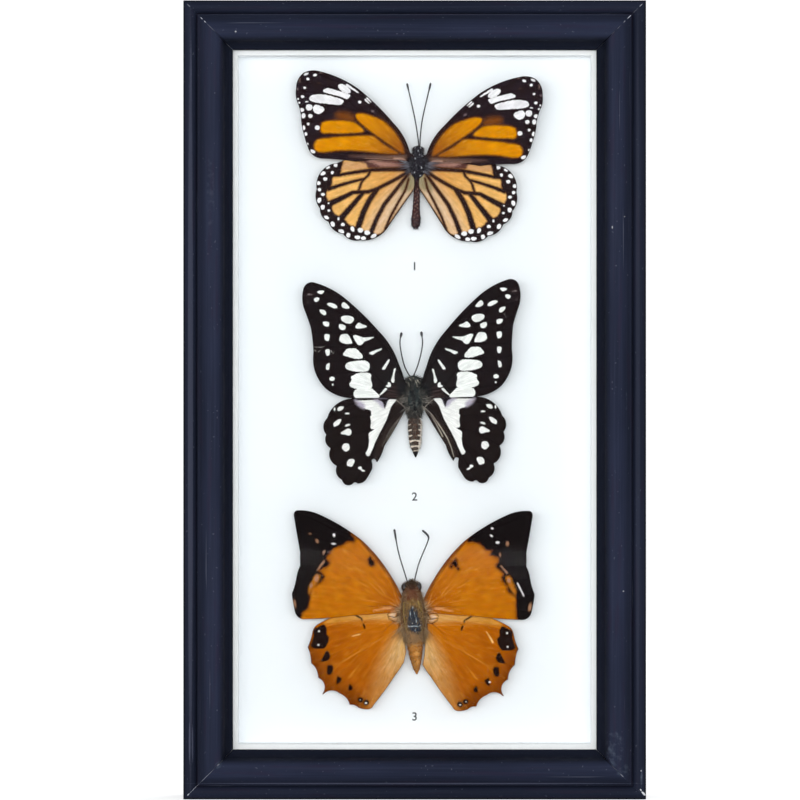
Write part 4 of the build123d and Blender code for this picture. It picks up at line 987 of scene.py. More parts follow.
MIDDLE_HIND_MARKS = {
    "fuzz": {"ovals": [(2.8, -2.0, 3.0, 4.6, 0)]},
    "hinge": {"strokes": [(0.12, 0.08, ((3.3, -2.3), (4.3, -1.3), (6.0, 0.2))),
                          (0.1, 0.1, ((3.2, 0.6), (3.8, -0.3), (4.4, -0.9)))]},
    "fold": {"areas": [[(2.6, -1.8), (6, -3.6), (9.4, -8), (12, -12.6), (13.6, -17.4), (12.8, -19),
                        (9, -13.4), (4, -5)]]},
    "hair_line": {"strokes": [
        (0.08, 0.12, ((3.4, -2.7), (5.4, -4.8), (7.4, -7.6))),
        (0.2, 0.1, ((7.4, -7.6), (9.0, -10.0), (10.6, -12.7), (11.8, -15.6), (12.6, -18.5))),
        (0.05, 0.2, ((5.0, -5.0), (6.6, -7.4), (8.2, -10.4), (9.0, -12.0)))]},
    # Painted shadow: bluish grey on the white band where the forewing's edge shades it.
    "painted_shadow": {"areas": [[(9.2, 0.5), (13.4, 0.5), (12.0, -0.7), (10.4, -2.4), (9.4, -1.2)],
                        [(17.2, -0.2), (19.6, 0.5), (18.6, -1.2), (16.8, -2.4), (16.4, -1.4)]]},
    "spike": {"areas": [[(8.6, 0.6), (11.9, 0.6), (10.5, -0.5), (9.9, -2.5), (9.4, -1.4), (9.0, -0.2)]]},
    "white": {
        "areas": [
            [(6.2, 0.4), (8.5, 0.4), (9.2, -0.8), (9.7, -1.8), (10.3, -0.5), (12, 0.3), (19, 0.3),
             (18.6, -0.3), (17.5, -1.5), (16, -2.5), (14.5, -3), (14.3, -4.6), (14.7, -5),
             (14.4, -6.5), (14.6, -8.8), (13.5, -9.2), (15.1, -10.3), (15.3, -11.5), (15.2, -13),
             (15.5, -15), (16, -16.2), (16.4, -16.9), (15.8, -17.8), (15.2, -17.7), (14.3, -16),
             (13, -13), (11.2, -9.5), (9.4, -6.2), (8, -2.5), (7.3, -1.3), (6.2, 0)],
            [(24.1, -5.8), (25, -5.7), (26.5, -6.7), (26.6, -7.8), (26.1, -7.9), (24.8, -7.2)],
            [(20.9, -10), (21.1, -9.1), (22, -8.7), (23.2, -9.3), (24.3, -10), (24.1, -10.5),
             (23, -10.6), (22, -11), (21.3, -10.8)],
            [(21.6, -14.5), (22, -13.7), (23.3, -13.6), (24, -14.5), (24, -15.2), (22.9, -16.2),
             (22, -15.8), (21.7, -15.4)],
            [(20.1, -19.3), (20.5, -18.7), (21.6, -18.7), (22.5, -19.5), (22.5, -20.8), (21.9, -21),
             (21.1, -21.2), (20.4, -20.3)],
            [(16.8, -22.6), (17.6, -22.1), (17.9, -21.3), (18.6, -21.2), (19, -21.8), (18.2, -22.3),
             (17.5, -22.9)],
        ],
        "ovals": [
            (24.3, -2.1, 2.2, 1.3, -25), (26.2, -2.3, 0.5, 1.2, 0), (22.1, -3.8, 1.4, 0.6, 0),
            (22.1, -7.6, 1.6, 0.7, -15),
        ],
    },
}
MIDDLE_LEFT_HIND_MARKS = {
    "hair_line": {"strokes": [
        (0.03, 0.0, ((5.4, -6.0), (8.0, -9.2), (11.0, -14.6))),
        (0.0, 0.03, ((4.4, -4.6), (7.4, -9.4), (9.4, -13.0)))]},
}
MIDDLE_HIND_SCALES = scaled_wing(
    "middle_hindwing_scales", srgb(38, 30, 29), srgb(28, 21, 21), 14.0,
    [
        ("fold", srgb(32, 26, 27), srgb(44, 35, 33), 0.6, 0.6),
        ("hair_line+0.2", srgb(50, 42, 41), srgb(56, 48, 45), 0.3, 0.3),
        ("hair_line", srgb(176, 160, 156), srgb(172, 164, 150), 0.14, 0.24),
        ("fuzz", srgb(30, 30, 32), srgb(30, 30, 32), 0.8, 2.4),
        ("hinge", srgb(196, 182, 172), srgb(196, 182, 172), 0.1, 0.5),
        ("white", srgb(240, 238, 236), srgb(242, 241, 238), 0.14, 0.4),
        # Painted shadow on the white band beside the forewing's edge.
        ("painted_shadow", srgb(196, 190, 208), srgb(176, 168, 184), 0.7, 0.8),
        ("spike", srgb(30, 24, 30), srgb(34, 28, 34), 0.25, 0.5),
    ],
    srgb(16, 12, 14), 0.45)
specimen_wings(
    "middle", MIDDLE_MIDDLE, {1: STRAIGHT, -1: (-0.35, 0.4, 2.6)}, {1: STRAIGHT, -1: (-0.1, -0.2, 1.3)},
    (MIDDLE_FORE_VEINS, MIDDLE_FORE_MARKS, MIDDLE_FORE_SCALES),
    (MIDDLE_HIND_VEINS, MIDDLE_HIND_MARKS, MIDDLE_HIND_SCALES),
    (MIDDLE_LEFT_FORE_MARKS, MIDDLE_LEFT_HIND_MARKS))

# ---- Lower specimen's wings ------------------------------------------------------------------
# Tawny orange with a ragged black tip on the forewing, and a toothed hindwing with a row of
# black spots, the first two run together.

LOWER_MIDDLE = (-0.65, 59.4)
LOWER_FORE_VEINS = (
    ((3.6, 4.8), (8.2, 12.2), (18.0, 24.0), (31.8, 32.0)),
    ((3.6, 4.4), (9.0, 12.4), (14.5, 19.0), (25.0, 26.8), (37.6, 33.0)),
    ((14.5, 19.0), (17.4, 15.8), (17.8, 13.0), (11.0, 7.0), (3.6, 3.2)),
    ((15.6, 17.8), (27.0, 23.0), (38.0, 27.0)),
    ((17.2, 16.4), (27.0, 19.6), (37.2, 21.4)),
    ((17.6, 14.4), (27.0, 15.8), (36.9, 16.2)),
    ((16.8, 12.0), (27.0, 11.8), (38.1, 11.8)),
    ((11.0, 7.0), (22.0, 6.8), (39.4, 6.6)),
    ((3.6, 2.2), (12.0, 2.6), (24.0, 2.2), (38.6, 1.2)),
)
LOWER_FORE_MARKS = {
    "costa": {"strokes": [(0.8, 0.9, ((3.0, 3.4), (7.2, 12.2), (12.0, 18.8), (17.2, 24.6), (22, 28.2)))]},
    "pale": {"strokes": [(0.45, 0.15, ((7.6, 2.2), (9.5, 2.0), (13.0, 1.2))), (0.3, 0.1, ((5.2, 1.4), (7.4, 0.6)))]},
    "sinew": {"strokes": [(0.16, 0.1, ((4.6, 1.8), (5.6, 2.4), (6.2, 1.6), (5.6, 0.9), (4.6, 1.0))),
                          (0.12, 0.06, ((5.8, 2.4), (8.4, 2.9), (15.0, 2.5))),
                          (0.1, 0.05, ((4.4, 3.0), (6.0, 5.0), (7.0, 7.0)))]},
    "fleck": {"strokes": [(0.1, 0.05, ((19.5, 15.8), (16.2, 13.4))), (0.08, 0.05, ((10.6, 6.6), (14.6, 10.6))),
                          (0.08, 0.05, ((9.4, 6.6), (13.4, 11.6))), (0.08, 0.05, ((20.2, 14.6), (23, 16.4))),
                          (0.14, 0.06, ((5.0, 3.4), (5.8, 5.2), (6.4, 7.0))), (0.1, 0.05, ((5.6, 3.0), (7.0, 4.8))),
                          (0.1, 0.05, ((6.0, 2.8), (8.2, 4.0))), (0.06, 0.05, ((12.0, 4.0), (18.0, 5.2))),
                          (0.1, 0.06, ((14.8, 8.9), (17.4, 10.2)))]},
    "black": {
        "areas": [
            [(18.5, 25.2), (19.8, 24), (21, 23.7), (22.5, 23), (24, 21.5), (26, 21), (25.5, 19.8),
             (27, 19.3), (28.2, 18.5), (28, 17), (27.3, 15.8), (28.8, 14.7), (29.8, 13.5),
             (29.3, 12.3), (29.7, 11), (31, 9.5), (31.2, 8), (32.5, 7), (33.8, 6), (34, 4.5),
             (33.8, 3.2), (34.1, 1.5), (34.3, -1.3), (37, -4), (44, 2), (44, 36), (30, 38)],
            [(12.6, 16.8), (13.3, 17.3), (13.9, 18.1), (14.5, 16.7), (14.2, 15.8), (13.5, 16.2)],
            [(12.2, 15.9), (12.7, 16.2), (12.8, 15.5)], [(14.6, 15.4), (15.1, 15.1), (14.7, 14.8)],
        ],
    },
    "amber": {"areas": [[(30.4, 12.2), (31.6, 12.6), (32.6, 10.6), (33.6, 8.2), (33.4, 6.6), (32.2, 8.0),
                         (31.0, 10.2)]]},
    "tan": {"ovals": [(28.5, 19.6, 0.6, 1.1, 0), (30.9, 23.2, 1.0, 1.5, 0), (31.4, 11.2, 1.0, 1.6, 20),
                      (38.2, 2.6, 1.0, 2.6, -10)],
            "strokes": [(0.2, 0.3, ((28.9, 15.9), (29.6, 14.9), (30.7, 13.8)))]},
    "white": {"ovals": [(25.9, 28.2, 0.9, 0.7, 0), (25.7, 25.8, 1.1, 0.6, -35), (27.7, 23.6, 1.3, 0.9, 0)],
              "strokes": [(0.26, 0.2, ((34.2, 10.3), (36.2, 6.3)))]},
}
LOWER_LEFT_FORE_MARKS = {
    "black": {
        "areas": [
            [(19.9, 25.1), (20.9, 24.1), (22.4, 23.5), (23.7, 22.6), (25.4, 22.1), (26.9, 21),
             (27.9, 19.6), (28.7, 18.3), (27.7, 16.8), (28.4, 15.8), (29.9, 15.1), (31.2, 14.4),
             (30, 13.2), (29.4, 12.2), (30.4, 10.8), (31.9, 9.8), (33.4, 9), (33.9, 7.3), (34.1, 5.3),
             (34.4, 3.3), (34.9, 2), (36.4, 0.8), (37.9, -1.5), (44, 2), (44, 36), (30, 38)],
            [(14.7, 17.4), (14.3, 18.5), (13.7, 17.8), (13, 16.8), (13.4, 16), (14, 16.1),
             (14.6, 16.6)],
        ],
    },
    "amber": {"areas": [[(30.6, 12.6), (32, 12.8), (33.4, 10.4), (34.2, 8.4), (34.2, 6.8), (33, 8.6),
                         (31.4, 10.4)]]},
    "tan": {"ovals": [(31.5, 23.9, 0.8, 1.4, -25), (29.3, 20.2, 0.6, 1.3, 25), (31.7, 11.7, 1.1, 2.2, 10),
                      (33.5, 9.4, 1.0, 1.5, 0), (33.8, 26.3, 0.7, 0.4, 0), (38.8, 3.6, 0.8, 2.4, -10)],
            "strokes": [(0.36, 0.2, ((29.3, 17.2), (30.4, 15.8), (31.4, 14.4)))]},
    "white": {"ovals": [(26.0, 25.8, 0.8, 1.3, 0), (26.2, 23.0, 1.5, 0.6, 0)]},
}
LOWER_FORE_SCALES = scaled_wing(
    "lower_forewing_scales", srgb(166, 86, 8), srgb(190, 110, 0), 21.0,
    [
        ("costa", srgb(128, 72, 26), srgb(120, 62, 20), 0.5, 0.5),
        ("pale", srgb(214, 156, 112), srgb(214, 146, 76), 0.35, 2.2),
        ("sinew", srgb(92, 46, 24), srgb(120, 64, 24), 0.12, 0.5),
        ("fleck", srgb(230, 166, 92), srgb(226, 156, 66), 0.12, 0.4),
        ("rim+0.16", srgb(112, 60, 34), srgb(96, 48, 24), 0.08, 0.2),
        ("black+0.6", srgb(96, 44, 14), srgb(104, 48, 12), 0.7, 1.8),
        ("black", srgb(14, 8, 9), srgb(15, 9, 10), 0.25, 1.5),
        ("amber", srgb(178, 104, 16), srgb(184, 110, 22), 0.6, 1.4),
        ("tan", srgb(150, 108, 84), srgb(168, 122, 92), 0.3, 0.6),
        ("white", srgb(224, 214, 212), srgb(236, 230, 230), 0.15, 0.4),
    ],
    srgb(206, 128, 30), 0.3, 0.14, ((0.94, 0.84, 0.6), (1.05, 1.07, 1.1)), 0.6, srgb(232, 164, 58), 0.5)
LOWER_HIND_VEINS = (
    ((3.8, 0.2), (10.0, 0.4), (20.0, -1.0), (32.6, -6.0)),
    ((3.8, -0.8), (10.5, -2.6), (17.0, -6.0), (24.0, -8.6), (34.0, -11.1)),
    ((17.0, -6.0), (17.6, -11.0), (8.0, -7.2), (3.8, -3.0)),
    ((17.3, -8.6), (24.0, -12.4), (33.0, -16.1)),
    ((17.6, -11.0), (23.0, -15.2), (30.8, -20.9)),
    ((15.8, -10.2), (20.5, -16.4), (29.0, -25.6)),
    ((8.0, -7.2), (14.0, -17.0), (20.8, -29.2)),
    ((3.8, -3.6), (7.5, -12.0), (17.6, -30.2)),
    ((3.6, -5.0), (5.6, -14.0), (13.6, -29.4)),
)
LOWER_HIND_MARKS = {
    "glow": {"areas": [[(7, 0.6), (14, 0.2), (24, -0.4), (29, -3.4), (20, -2.6), (12, -2.2), (6, -2.4)]]},
    "rust": {"strokes": [(4.4, 4.4, ((36, -15), (33, -21), (30, -27), (22, -30), (17.5, -33), (13, -32)))]},
    "buff": {"areas": [[(2, -6), (5.6, -9.5), (8.4, -14), (11, -20), (13.8, -27.5), (12.6, -31), (4, -20),
                        (0, -9)]]},
    "knuckle": {"areas": [[(5.6, -0.3), (6.4, 0.1), (7.4, -0.2), (7.8, -0.9), (7.2, -1.6), (6.2, -2.2),
                           (5.5, -1.9), (6.2, -1.1)]]},
    "sinew": {"strokes": [(0.22, 0.14, ((4.4, -0.7), (6.0, -1.4), (8.0, -1.1))),
                          (0.2, 0.12, ((4.8, -2.6), (6.4, -2.8), (8.0, -1.9), (8.5, -0.6), (7.8, 0.4), (5.6, 0.4))),
                          (0.3, 0.1, ((5.0, 0.2), (5.3, -1.0), (4.9, -3.0))),
                          (0.2, 0.05, ((4.6, -3.4), (5.0, -6.0), (4.2, -8.6))),
                          (0.1, 0.05, ((6.6, -3.0), (9.0, -5.0), (11.4, -8.2)))]},
    "light": {"strokes": [(0.14, 0.32, ((24.2, -5.7), (25.2, -7.2), (26.1, -8.9)))]},
    "fleck": {"strokes": [(0.06, 0.1, ((10, -8.2), (20, -13.9), (24, -16.4), (27, -19.7))),
                          (0.06, 0.12, ((17, -16), (21, -21))), (0.1, 0.06, ((7, -3.6), (12, -3.2), (20, -3.8)))]},
    "black": {"areas": [
        [(32.3, -5.1), (30.3, -4.1), (29.1, -3.8), (28.3, -5), (28.3, -7), (27.6, -7.7), (27.7, -9.1),
         (28.2, -10.3), (29, -11.5), (30.8, -11.7), (32.3, -11.6), (33.5, -10.7), (33.2, -9.5),
         (32.6, -7.5), (32.7, -6)],
        [(27.5, -12.9), (28.5, -12.4), (30.1, -15.4), (29.6, -15.9), (27.9, -15.4), (27.1, -14.2)],
        [(28, -17.1), (26.6, -17), (26.2, -18.1), (26.5, -19.5), (27.8, -20.2), (28.3, -19.3),
         (28.2, -17.9)],
        [(24.9, -20.7), (23.5, -21.3), (23.8, -22.3), (25.1, -23.2)],
        [(21.1, -23.6), (20.5, -23.3), (19.8, -24.5), (20.2, -25.2), (21.2, -25.1)],
    ], "ovals": [(17.3, -28.3, 1.9, 1.7, 0), (15.4, -29.2, 2.0, 1.8, -40)],
        "strokes": [(0.34, 0.22, ((19.2, -0.4), (18, -1.2), (16.9, -1.8), (16.8, -2.6))),
                    (0.36, 0.3, ((16.3, -3.8), (15.9, -4.9))),
                    (0.16, 0.16, ((33, -6.6), (34.4, -11.1), (33.3, -16.3), (31, -21.1)))]},
    "white": {"ovals": [(30.8, -5.9, 0.7, 0.7, 0), (31, -10.4, 0.6, 0.6, 0), (25.1, -21.9, 0.8, 0.6, 0),
                        (17.4, -28.3, 0.5, 0.4, 0), (15.5, -29.3, 0.7, 0.5, 0)]},
}
LOWER_LEFT_HIND_MARKS = {
    "light": {"strokes": [(0.1, 0.24, ((20, -7.6), (18.8, -7.2), (17.6, -7.0)))]},
    "white": {"ovals": [(30.8, -5.9, 0.7, 0.7, 0), (31, -10.4, 0.7, 0.6, 0), (15.5, -29.3, 0.8, 0.6, 0),
                        (17.4, -28.3, 0.4, 0.4, 0)]},
}
LOWER_HIND_SCALES = scaled_wing(
    "lower_hindwing_scales", srgb(196, 110, 6), srgb(172, 90, 0), 30.0,
    [
        ("rust", srgb(96, 40, 8), srgb(90, 34, 7), 6.5, 3.0),
        ("glow", srgb(218, 164, 96), srgb(210, 144, 52), 1.0, 1.4),
        ("buff+1.0", srgb(194, 132, 44), srgb(172, 98, 22), 4.6, 2.4),
        ("buff+0.6", srgb(228, 190, 134), srgb(192, 128, 62), 3.6, 2.2),
        ("fleck", srgb(224, 158, 78), srgb(214, 142, 46), 0.16, 0.6),
        ("light", srgb(236, 184, 110), srgb(242, 192, 112), 0.25, 0.4),
        ("knuckle", srgb(230, 196, 168), srgb(226, 186, 150), 0.2, 1.2),
        ("sinew", srgb(84, 44, 28), srgb(104, 56, 26), 0.12, 0.5),
        ("rim+0.16", srgb(120, 66, 38), srgb(96, 44, 18), 0.08, 0.2),
        ("black", srgb(24, 12, 11), srgb(28, 14, 11), 0.28, 0.6),
        ("white", srgb(226, 214, 206), srgb(236, 228, 222), 0.12, 0.3),
    ],
    srgb(206, 128, 30), 0.25, 0.16, ((0.93, 0.86, 0.66), (1.04, 1.05, 1.1)), 0.5, srgb(226, 158, 62), 0.4)
specimen_wings(
    "lower", LOWER_MIDDLE, {1: STRAIGHT, -1: (0.4, 0.2, 0.0)}, {1: STRAIGHT, -1: (0.3, 0.6, 0.0)},
    (LOWER_FORE_VEINS, LOWER_FORE_MARKS, LOWER_FORE_SCALES),
    (LOWER_HIND_VEINS, LOWER_HIND_MARKS, LOWER_HIND_SCALES),
    (LOWER_LEFT_FORE_MARKS, LOWER_LEFT_HIND_MARKS))

# ---- Bodies, eyes, hair and antennae ---------------------------------------------------------
# Head, thorax and ringed abdomen are one dried body, furred at the front. A drop of dried glue
# under the thorax holds it to the card. The antennae are fine stalks with a club at the tip.

HAIR_SIDES = 3


def smooth_profile(points, along):
    """Radius at each distance along the body: cubic stretches through the given radii."""
    p = np.array(points, float)
    slope = np.gradient(p[:, 1], p[:, 0])
    k = np.clip(np.searchsorted(p[:, 0], along, side="right") - 1, 0, len(p) - 2)
    span = p[k + 1, 0] - p[k, 0]
    t = (along - p[k, 0]) / span
    rise = (p[k + 1, 1] * (3 - 2 * t) * t**2 + p[k, 1] * (1 - (3 - 2 * t) * t**2))
    bend = span * (slope[k] * t * (1 - t) ** 2 - slope[k + 1] * t**2 * (1 - t))
    return np.maximum(rise + bend, 0.02)


def place_on_axis(middle, axis_x, lean, height, across, along, out):
    """Millimetre places from distances across, along and out of a body that leans by lean."""
    turn = np.radians(lean)
    x = middle[0] + axis_x + across * np.cos(turn) + along * np.sin(turn)
    z = middle[1] + along * np.cos(turn) - across * np.sin(turn)
    return np.stack([x, BACK_Y - height - out, z], -1)


def furred(name, near, far, streak_color, ring_color, ring_share, layers=()):
    """Body surface: near colour to far colour by the stored tint, in lengthwise strands of the
    streak colour, with a line of another colour between the rings. Each layer (field, colour,
    softness, raggedness) covers what is before it where its field is below 0."""
    material, tree = new_material(name)
    spot = field(tree, "lay", vector=True)
    cloudy = noise(tree, spot, 1.6, 4.0)
    pile = noise(tree, spot, 6.0, 3.0, (1.0, 0.2, 1.0))
    strand = noise(tree, spot, 2.4, 3.0, (1.0, 0.16, 1.0))
    color = blend(tree, ramp(tree, field(tree, "tint"), 0.0, 1.0), near, far)
    color = blend(tree, ramp(tree, cloudy, 0.4, 0.66, 0.0, 0.55), color, srgb(24, 18, 17))
    color = blend(tree, ramp(tree, pile, 0.5, 0.72, 0.0, 0.6), color, streak_color)
    color = blend(tree, ramp(tree, strand, 0.54, 0.68, 0.0, 0.5), color, streak_color)
    color = blend(tree, ramp(tree, field(tree, "ring"), 0.25, 0.75, 0.0, ring_share), color, ring_color)
    ragged = math(tree, "SUBTRACT", noise(tree, spot, 1.9, 4.0, (1.0, 0.5, 1.0)), 0.5)
    for mask, covering, soft, rag in layers:
        distance = math(tree, "ADD", field(tree, mask), math(tree, "MULTIPLY", ragged, rag))
        color = blend(tree, ramp(tree, distance, soft, -soft), color, covering)
    loose = noise(tree, spot, 3.2, 4.0, (1.0, 0.3, 1.0))
    color = blend(tree, ramp(tree, loose, 0.58, 0.70, 0.0, 0.55), color, streak_color)
    color = blend(tree, ramp(tree, loose, 0.42, 0.30, 0.0, 0.6), color, srgb(22, 17, 17))
    surface(tree, color, 0.8, math(tree, "ADD", cloudy, pile), 0.6, 0.15, Specular_IOR_Level=0.1)
    return material


def insect_body(name, middle, axis_x, lean, profile, rings, tint, masks, material):
    """Surface of revolution about the leaning axis: radius is the profile's, pinched between
    the abdomen's rings and roughened by slow waves round and along the body. The flank field is
    below 0 on the outer fifth of each side, where a layer may paint shade on the body's sides."""
    low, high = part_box(name + "_body")
    height = BACK_Y - (low[1] + high[1]) / 2 / MM
    profile = sorted(profile)
    along = np.linspace(profile[0][0], profile[-1][0], 170)
    around = np.linspace(0, 2 * np.pi, 60, endpoint=False)
    first, last, count = rings
    phase = np.clip((first - along) / (first - last), 0, 1) * count
    pinch = np.where((along < first) & (along > last), np.abs(np.sin(np.pi * phase)) ** 0.5, 1.0)
    radius = smooth_profile(profile, along) * (0.9 + 0.1 * pinch)
    wave = 1 + 0.02 * np.sin(5 * around)[None, :] * np.sin(1.7 * along)[:, None]
    wave = wave + 0.012 * np.sin(11 * around + 1.3)[None, :] * np.sin(4.1 * along)[:, None]
    section = radius[:, None] * wave
    across = section * np.cos(around)
    out = section * np.sin(around)
    s = np.broadcast_to(along[:, None], across.shape)
    points = place_on_axis(middle, axis_x, lean, height, across, s, out).reshape(-1, 3)
    ends = place_on_axis(middle, axis_x, lean, height, np.zeros(2), along[[0, -1]], np.zeros(2))
    points = np.concatenate([points, ends])
    columns, rows = len(around), len(along)
    spoke = np.arange(columns)
    beside = (spoke + 1) % columns
    last_row = (rows - 1) * columns
    faces = grid_faces(rows, columns).tolist()
    faces += np.stack([np.full(columns, len(points) - 2), beside, spoke], 1).tolist()
    faces += np.stack([np.full(columns, len(points) - 1), last_row + spoke, last_row + beside], 1).tolist()
    flat_x = np.append(across.ravel(), [0, 0])
    flat_z = np.append(s.ravel(), along[[0, -1]])
    flat_h = np.append(out.ravel(), [0, 0])
    fields = {
        "lay": np.stack([flat_x, flat_z, flat_h], 1),
        "tint": tint(flat_x, flat_z),
        "ring": np.append(np.repeat(1 - pinch, columns), [0, 0]),
        "flank_shade": np.append(np.repeat(radius * 0.8, columns), [0, 0]) - np.abs(flat_x),
    }
    fields.update({mask: marks(flat_x, flat_z, **shapes) for mask, shapes in masks.items()})
    return piece(name + "_body_shell", points, faces, replaces=name + "_body",
                 material=material, fields=fields)


def hairs(name, root, tip, width, tint, material):
    """Three-sided spikes from root to tip: the root is a small triangle and the tip a point."""
    line = tip - root
    side = np.cross(line, [0.31, 0.52, 0.8])
    side /= np.linalg.norm(side, axis=1)[:, None]
    other = np.cross(line, side)
    other /= np.linalg.norm(other, axis=1)[:, None]
    angle = np.arange(HAIR_SIDES) * 2 * np.pi / HAIR_SIDES
    base = [root + width[:, None] * (side * np.cos(a) + other * np.sin(a)) for a in angle]
    points = np.stack(base + [tip], 1)
    number = np.arange(len(root))[:, None] * (HAIR_SIDES + 1)
    faces = np.concatenate([number + np.array(f) for f in ([0, 1, 3], [1, 2, 3], [2, 0, 3], [2, 1, 0])])
    fields = {"tint": np.repeat(np.clip(tint, 0, 1), HAIR_SIDES + 1)}
    return piece(name, points.reshape(-1, 3), faces.tolist(), material=material,
                 fields=fields)


def fur(name, middle, axis_x, lean, profile, patches, material, seed):
    """Fur of a body: each hair stands at a random place of its patch and leans back along the
    body. A patch is (count, from-to along the body, from-to in degrees round it, length,
    backward lean, tint)."""
    low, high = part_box(name + "_body")
    height = BACK_Y - (low[1] + high[1]) / 2 / MM
    random = np.random.default_rng(seed)
    roots, tips, widths, tints = [], [], [], []
    for count, (start, end), (side_low, side_high), length, backward, tint in patches:
        s = random.uniform(start, end, count)
        turn = np.radians(random.uniform(side_low, side_high, count))
        radius = smooth_profile(sorted(profile), s) * 0.95
        normal = np.stack([np.cos(turn), np.zeros(count), np.sin(turn)], 1)
        heading = normal + random.normal(0, 0.4, (count, 3)) + np.array([0, backward, 0])
        heading /= np.linalg.norm(heading, axis=1)[:, None]
        root = np.stack([radius * np.cos(turn), s, radius * np.sin(turn)], 1)
        roots.append(root)
        tips.append(root + heading * length * random.uniform(0.5, 1.15, count)[:, None])
        widths.append(random.uniform(0.04, 0.075, count))
        tints.append(tint + random.normal(0, 0.2, count))
    root, tip = (place_on_axis(middle, axis_x, lean, height, *np.concatenate(ends).T)
                 for ends in (roots, tips))
    return hairs(name + "_fur", root, tip, np.concatenate(widths), np.concatenate(tints), material)


def root_hairs(name, middle, fans, material, seed):
    """Long hairs that lie on the wings beside the body, fanned out from its middle. A fan is
    (count, from-to in degrees, start, end, tint) and is mirrored to the left."""
    random = np.random.default_rng(seed)
    top = max(BACK_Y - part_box(f"{name}_{side}_forewing")[0][1] / MM for side in ("left", "right"))
    roots, tips, tints = [], [], []
    for count, (low, high), start, end, tint in fans:
        for side in (1, -1):
            turn = np.radians(random.uniform(low, high, count))
            begin = start * random.uniform(0.8, 1.2, count)
            reach = end * random.uniform(0.6, 1.1, count)
            bent = turn + random.normal(0, 0.06, count)
            for places, distance, way, rise in ((roots, begin, turn, 0.1), (tips, reach, bent, 0.3)):
                places.append(np.stack([middle[0] + side * distance * np.cos(way),
                                        np.full(count, BACK_Y - top - rise),
                                        middle[1] + distance * np.sin(way)], 1))
            tints.append(tint + random.normal(0, 0.2, count))
    root, tip = np.concatenate(roots), np.concatenate(tips)
    return hairs(name + "_root_hairs", root, tip, np.full(len(root), 0.05), np.concatenate(tints),
                 material)


def hair_color(name, dark, light):
    """Dry hair between a dark and a light colour, by each hair's own tint."""
    material, tree = new_material(name)
    color = blend(tree, field(tree, "tint"), dark, light)
    surface(tree, color, 0.7, Specular_IOR_Level=0.15)
    return material


def ball(name, middle, axis_x, lean, places, radii, material):
    """Eyes: spheres stretched along the body, two on the head."""
    low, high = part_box(name + "_body")
    height = BACK_Y - (low[1] + high[1]) / 2 / MM
    rows, columns = 17, 32
    polar = np.linspace(0, np.pi, rows)[1:-1, None]
    around = np.linspace(0, 2 * np.pi, columns, endpoint=False)[None, :]
    unit = np.stack([np.sin(polar) * np.cos(around), np.cos(polar) + 0 * around,
                     np.sin(polar) * np.sin(around)], -1).reshape(-1, 3)
    unit = np.concatenate([unit, [[0, 1, 0], [0, -1, 0]]])
    spoke = np.arange(columns)
    beside = (spoke + 1) % columns
    last_row = (rows - 3) * columns
    shell = grid_faces(rows - 2, columns).tolist()
    shell += np.stack([np.full(columns, len(unit) - 2), spoke, beside], 1).tolist()
    shell += np.stack([np.full(columns, len(unit) - 1), last_row + beside, last_row + spoke], 1).tolist()
    points, faces = [], []
    for number, (across, along, out) in enumerate(places):
        local = unit * np.array(radii) + np.array([across, along, out])
        points.append(place_on_axis(middle, axis_x, lean, height, *local.T))
        faces += [[corner + number * len(unit) for corner in face] for face in shell]
    return piece(name + "_eyes", np.concatenate(points), faces, material=material)


def smooth_path(points, steps):
    """Open curve through the points: cubic stretches parallel to the neighbouring chords."""
    p = np.array(points, float)
    p = np.concatenate([2 * p[:1] - p[1:2], p, 2 * p[-1:] - p[-2:-1]])
    a, b, c, d = (q[:, None, :] for q in (p[:-3], p[1:-2], p[2:-1], p[3:]))
    t = np.linspace(0, 1, steps, endpoint=False)[None, :, None]
    curve = 2 * b + (c - a) * t + (2 * a - 5 * b + 4 * c - d) * t**2 + (3 * b - a - 3 * c + d) * t**3
    return np.concatenate([(curve / 2).reshape(-1, p.shape[1]), p[-2:-1]])


def antennae(name, middle, stalks, club, material):
    """Two tubes: a circle carried along a smooth path, its radius swelling into the club."""
    low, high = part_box(name + "_antennae")
    height = BACK_Y - (low[1] + high[1]) / 2 / MM
    club_length, club_radius = club
    around = np.linspace(0, 2 * np.pi, 10, endpoint=False)
    points, faces, start = [], [], 0
    for stalk in stalks:
        path = smooth_path(stalk, 26)
        run = np.concatenate([[0], np.cumsum(np.hypot(*np.diff(path, axis=0).T))])
        left = run[-1] - run
        tangent = np.gradient(path, axis=0)
        tangent /= np.hypot(*tangent.T)[:, None]
        swell = np.clip(1 - left / club_length, 0, 1)
        radius = 0.2 + (club_radius - 0.2) * np.sin(np.pi * np.clip(swell, 0, 0.5)) ** 2
        radius *= np.sqrt(np.clip(left / (club_radius * 0.9), 0.02, 1)) * (1 + 0.08 * np.sin(left * 14))
        side = np.stack([tangent[:, 1], -tangent[:, 0]], 1)
        flat = path[:, None, :] + side[:, None, :] * (radius[:, None] * np.cos(around))[..., None]
        out = radius[:, None] * np.sin(around)
        ring = np.stack([middle[0] + flat[..., 0], BACK_Y - height - out, middle[1] + flat[..., 1]], -1)
        points.append(ring.reshape(-1, 3))
        faces += grid_faces(len(path), len(around), start).tolist()
        faces.append((start + np.arange(len(around))).tolist())
        start += len(path) * len(around)
        faces.append((start - 1 - np.arange(len(around))).tolist())
    return piece(name + "_feelers", np.concatenate(points), faces,
                 replaces=name + "_antennae", material=material)


def plain_dark(name, color, rough):
    """Dark horn of the antennae and eyes, slightly uneven."""
    material, tree = new_material(name)
    place = shade(tree, "TexCoord").outputs["Object"]
    lighter = tuple(min(1.0, channel * 1.9 + 0.004) for channel in color[:3]) + (1.0,)
    surface(tree, blend(tree, noise(tree, place, 1500.0, 3.0), color, lighter), rough,
            noise(tree, place, 6000.0), 0.2, 0.02)
    return material


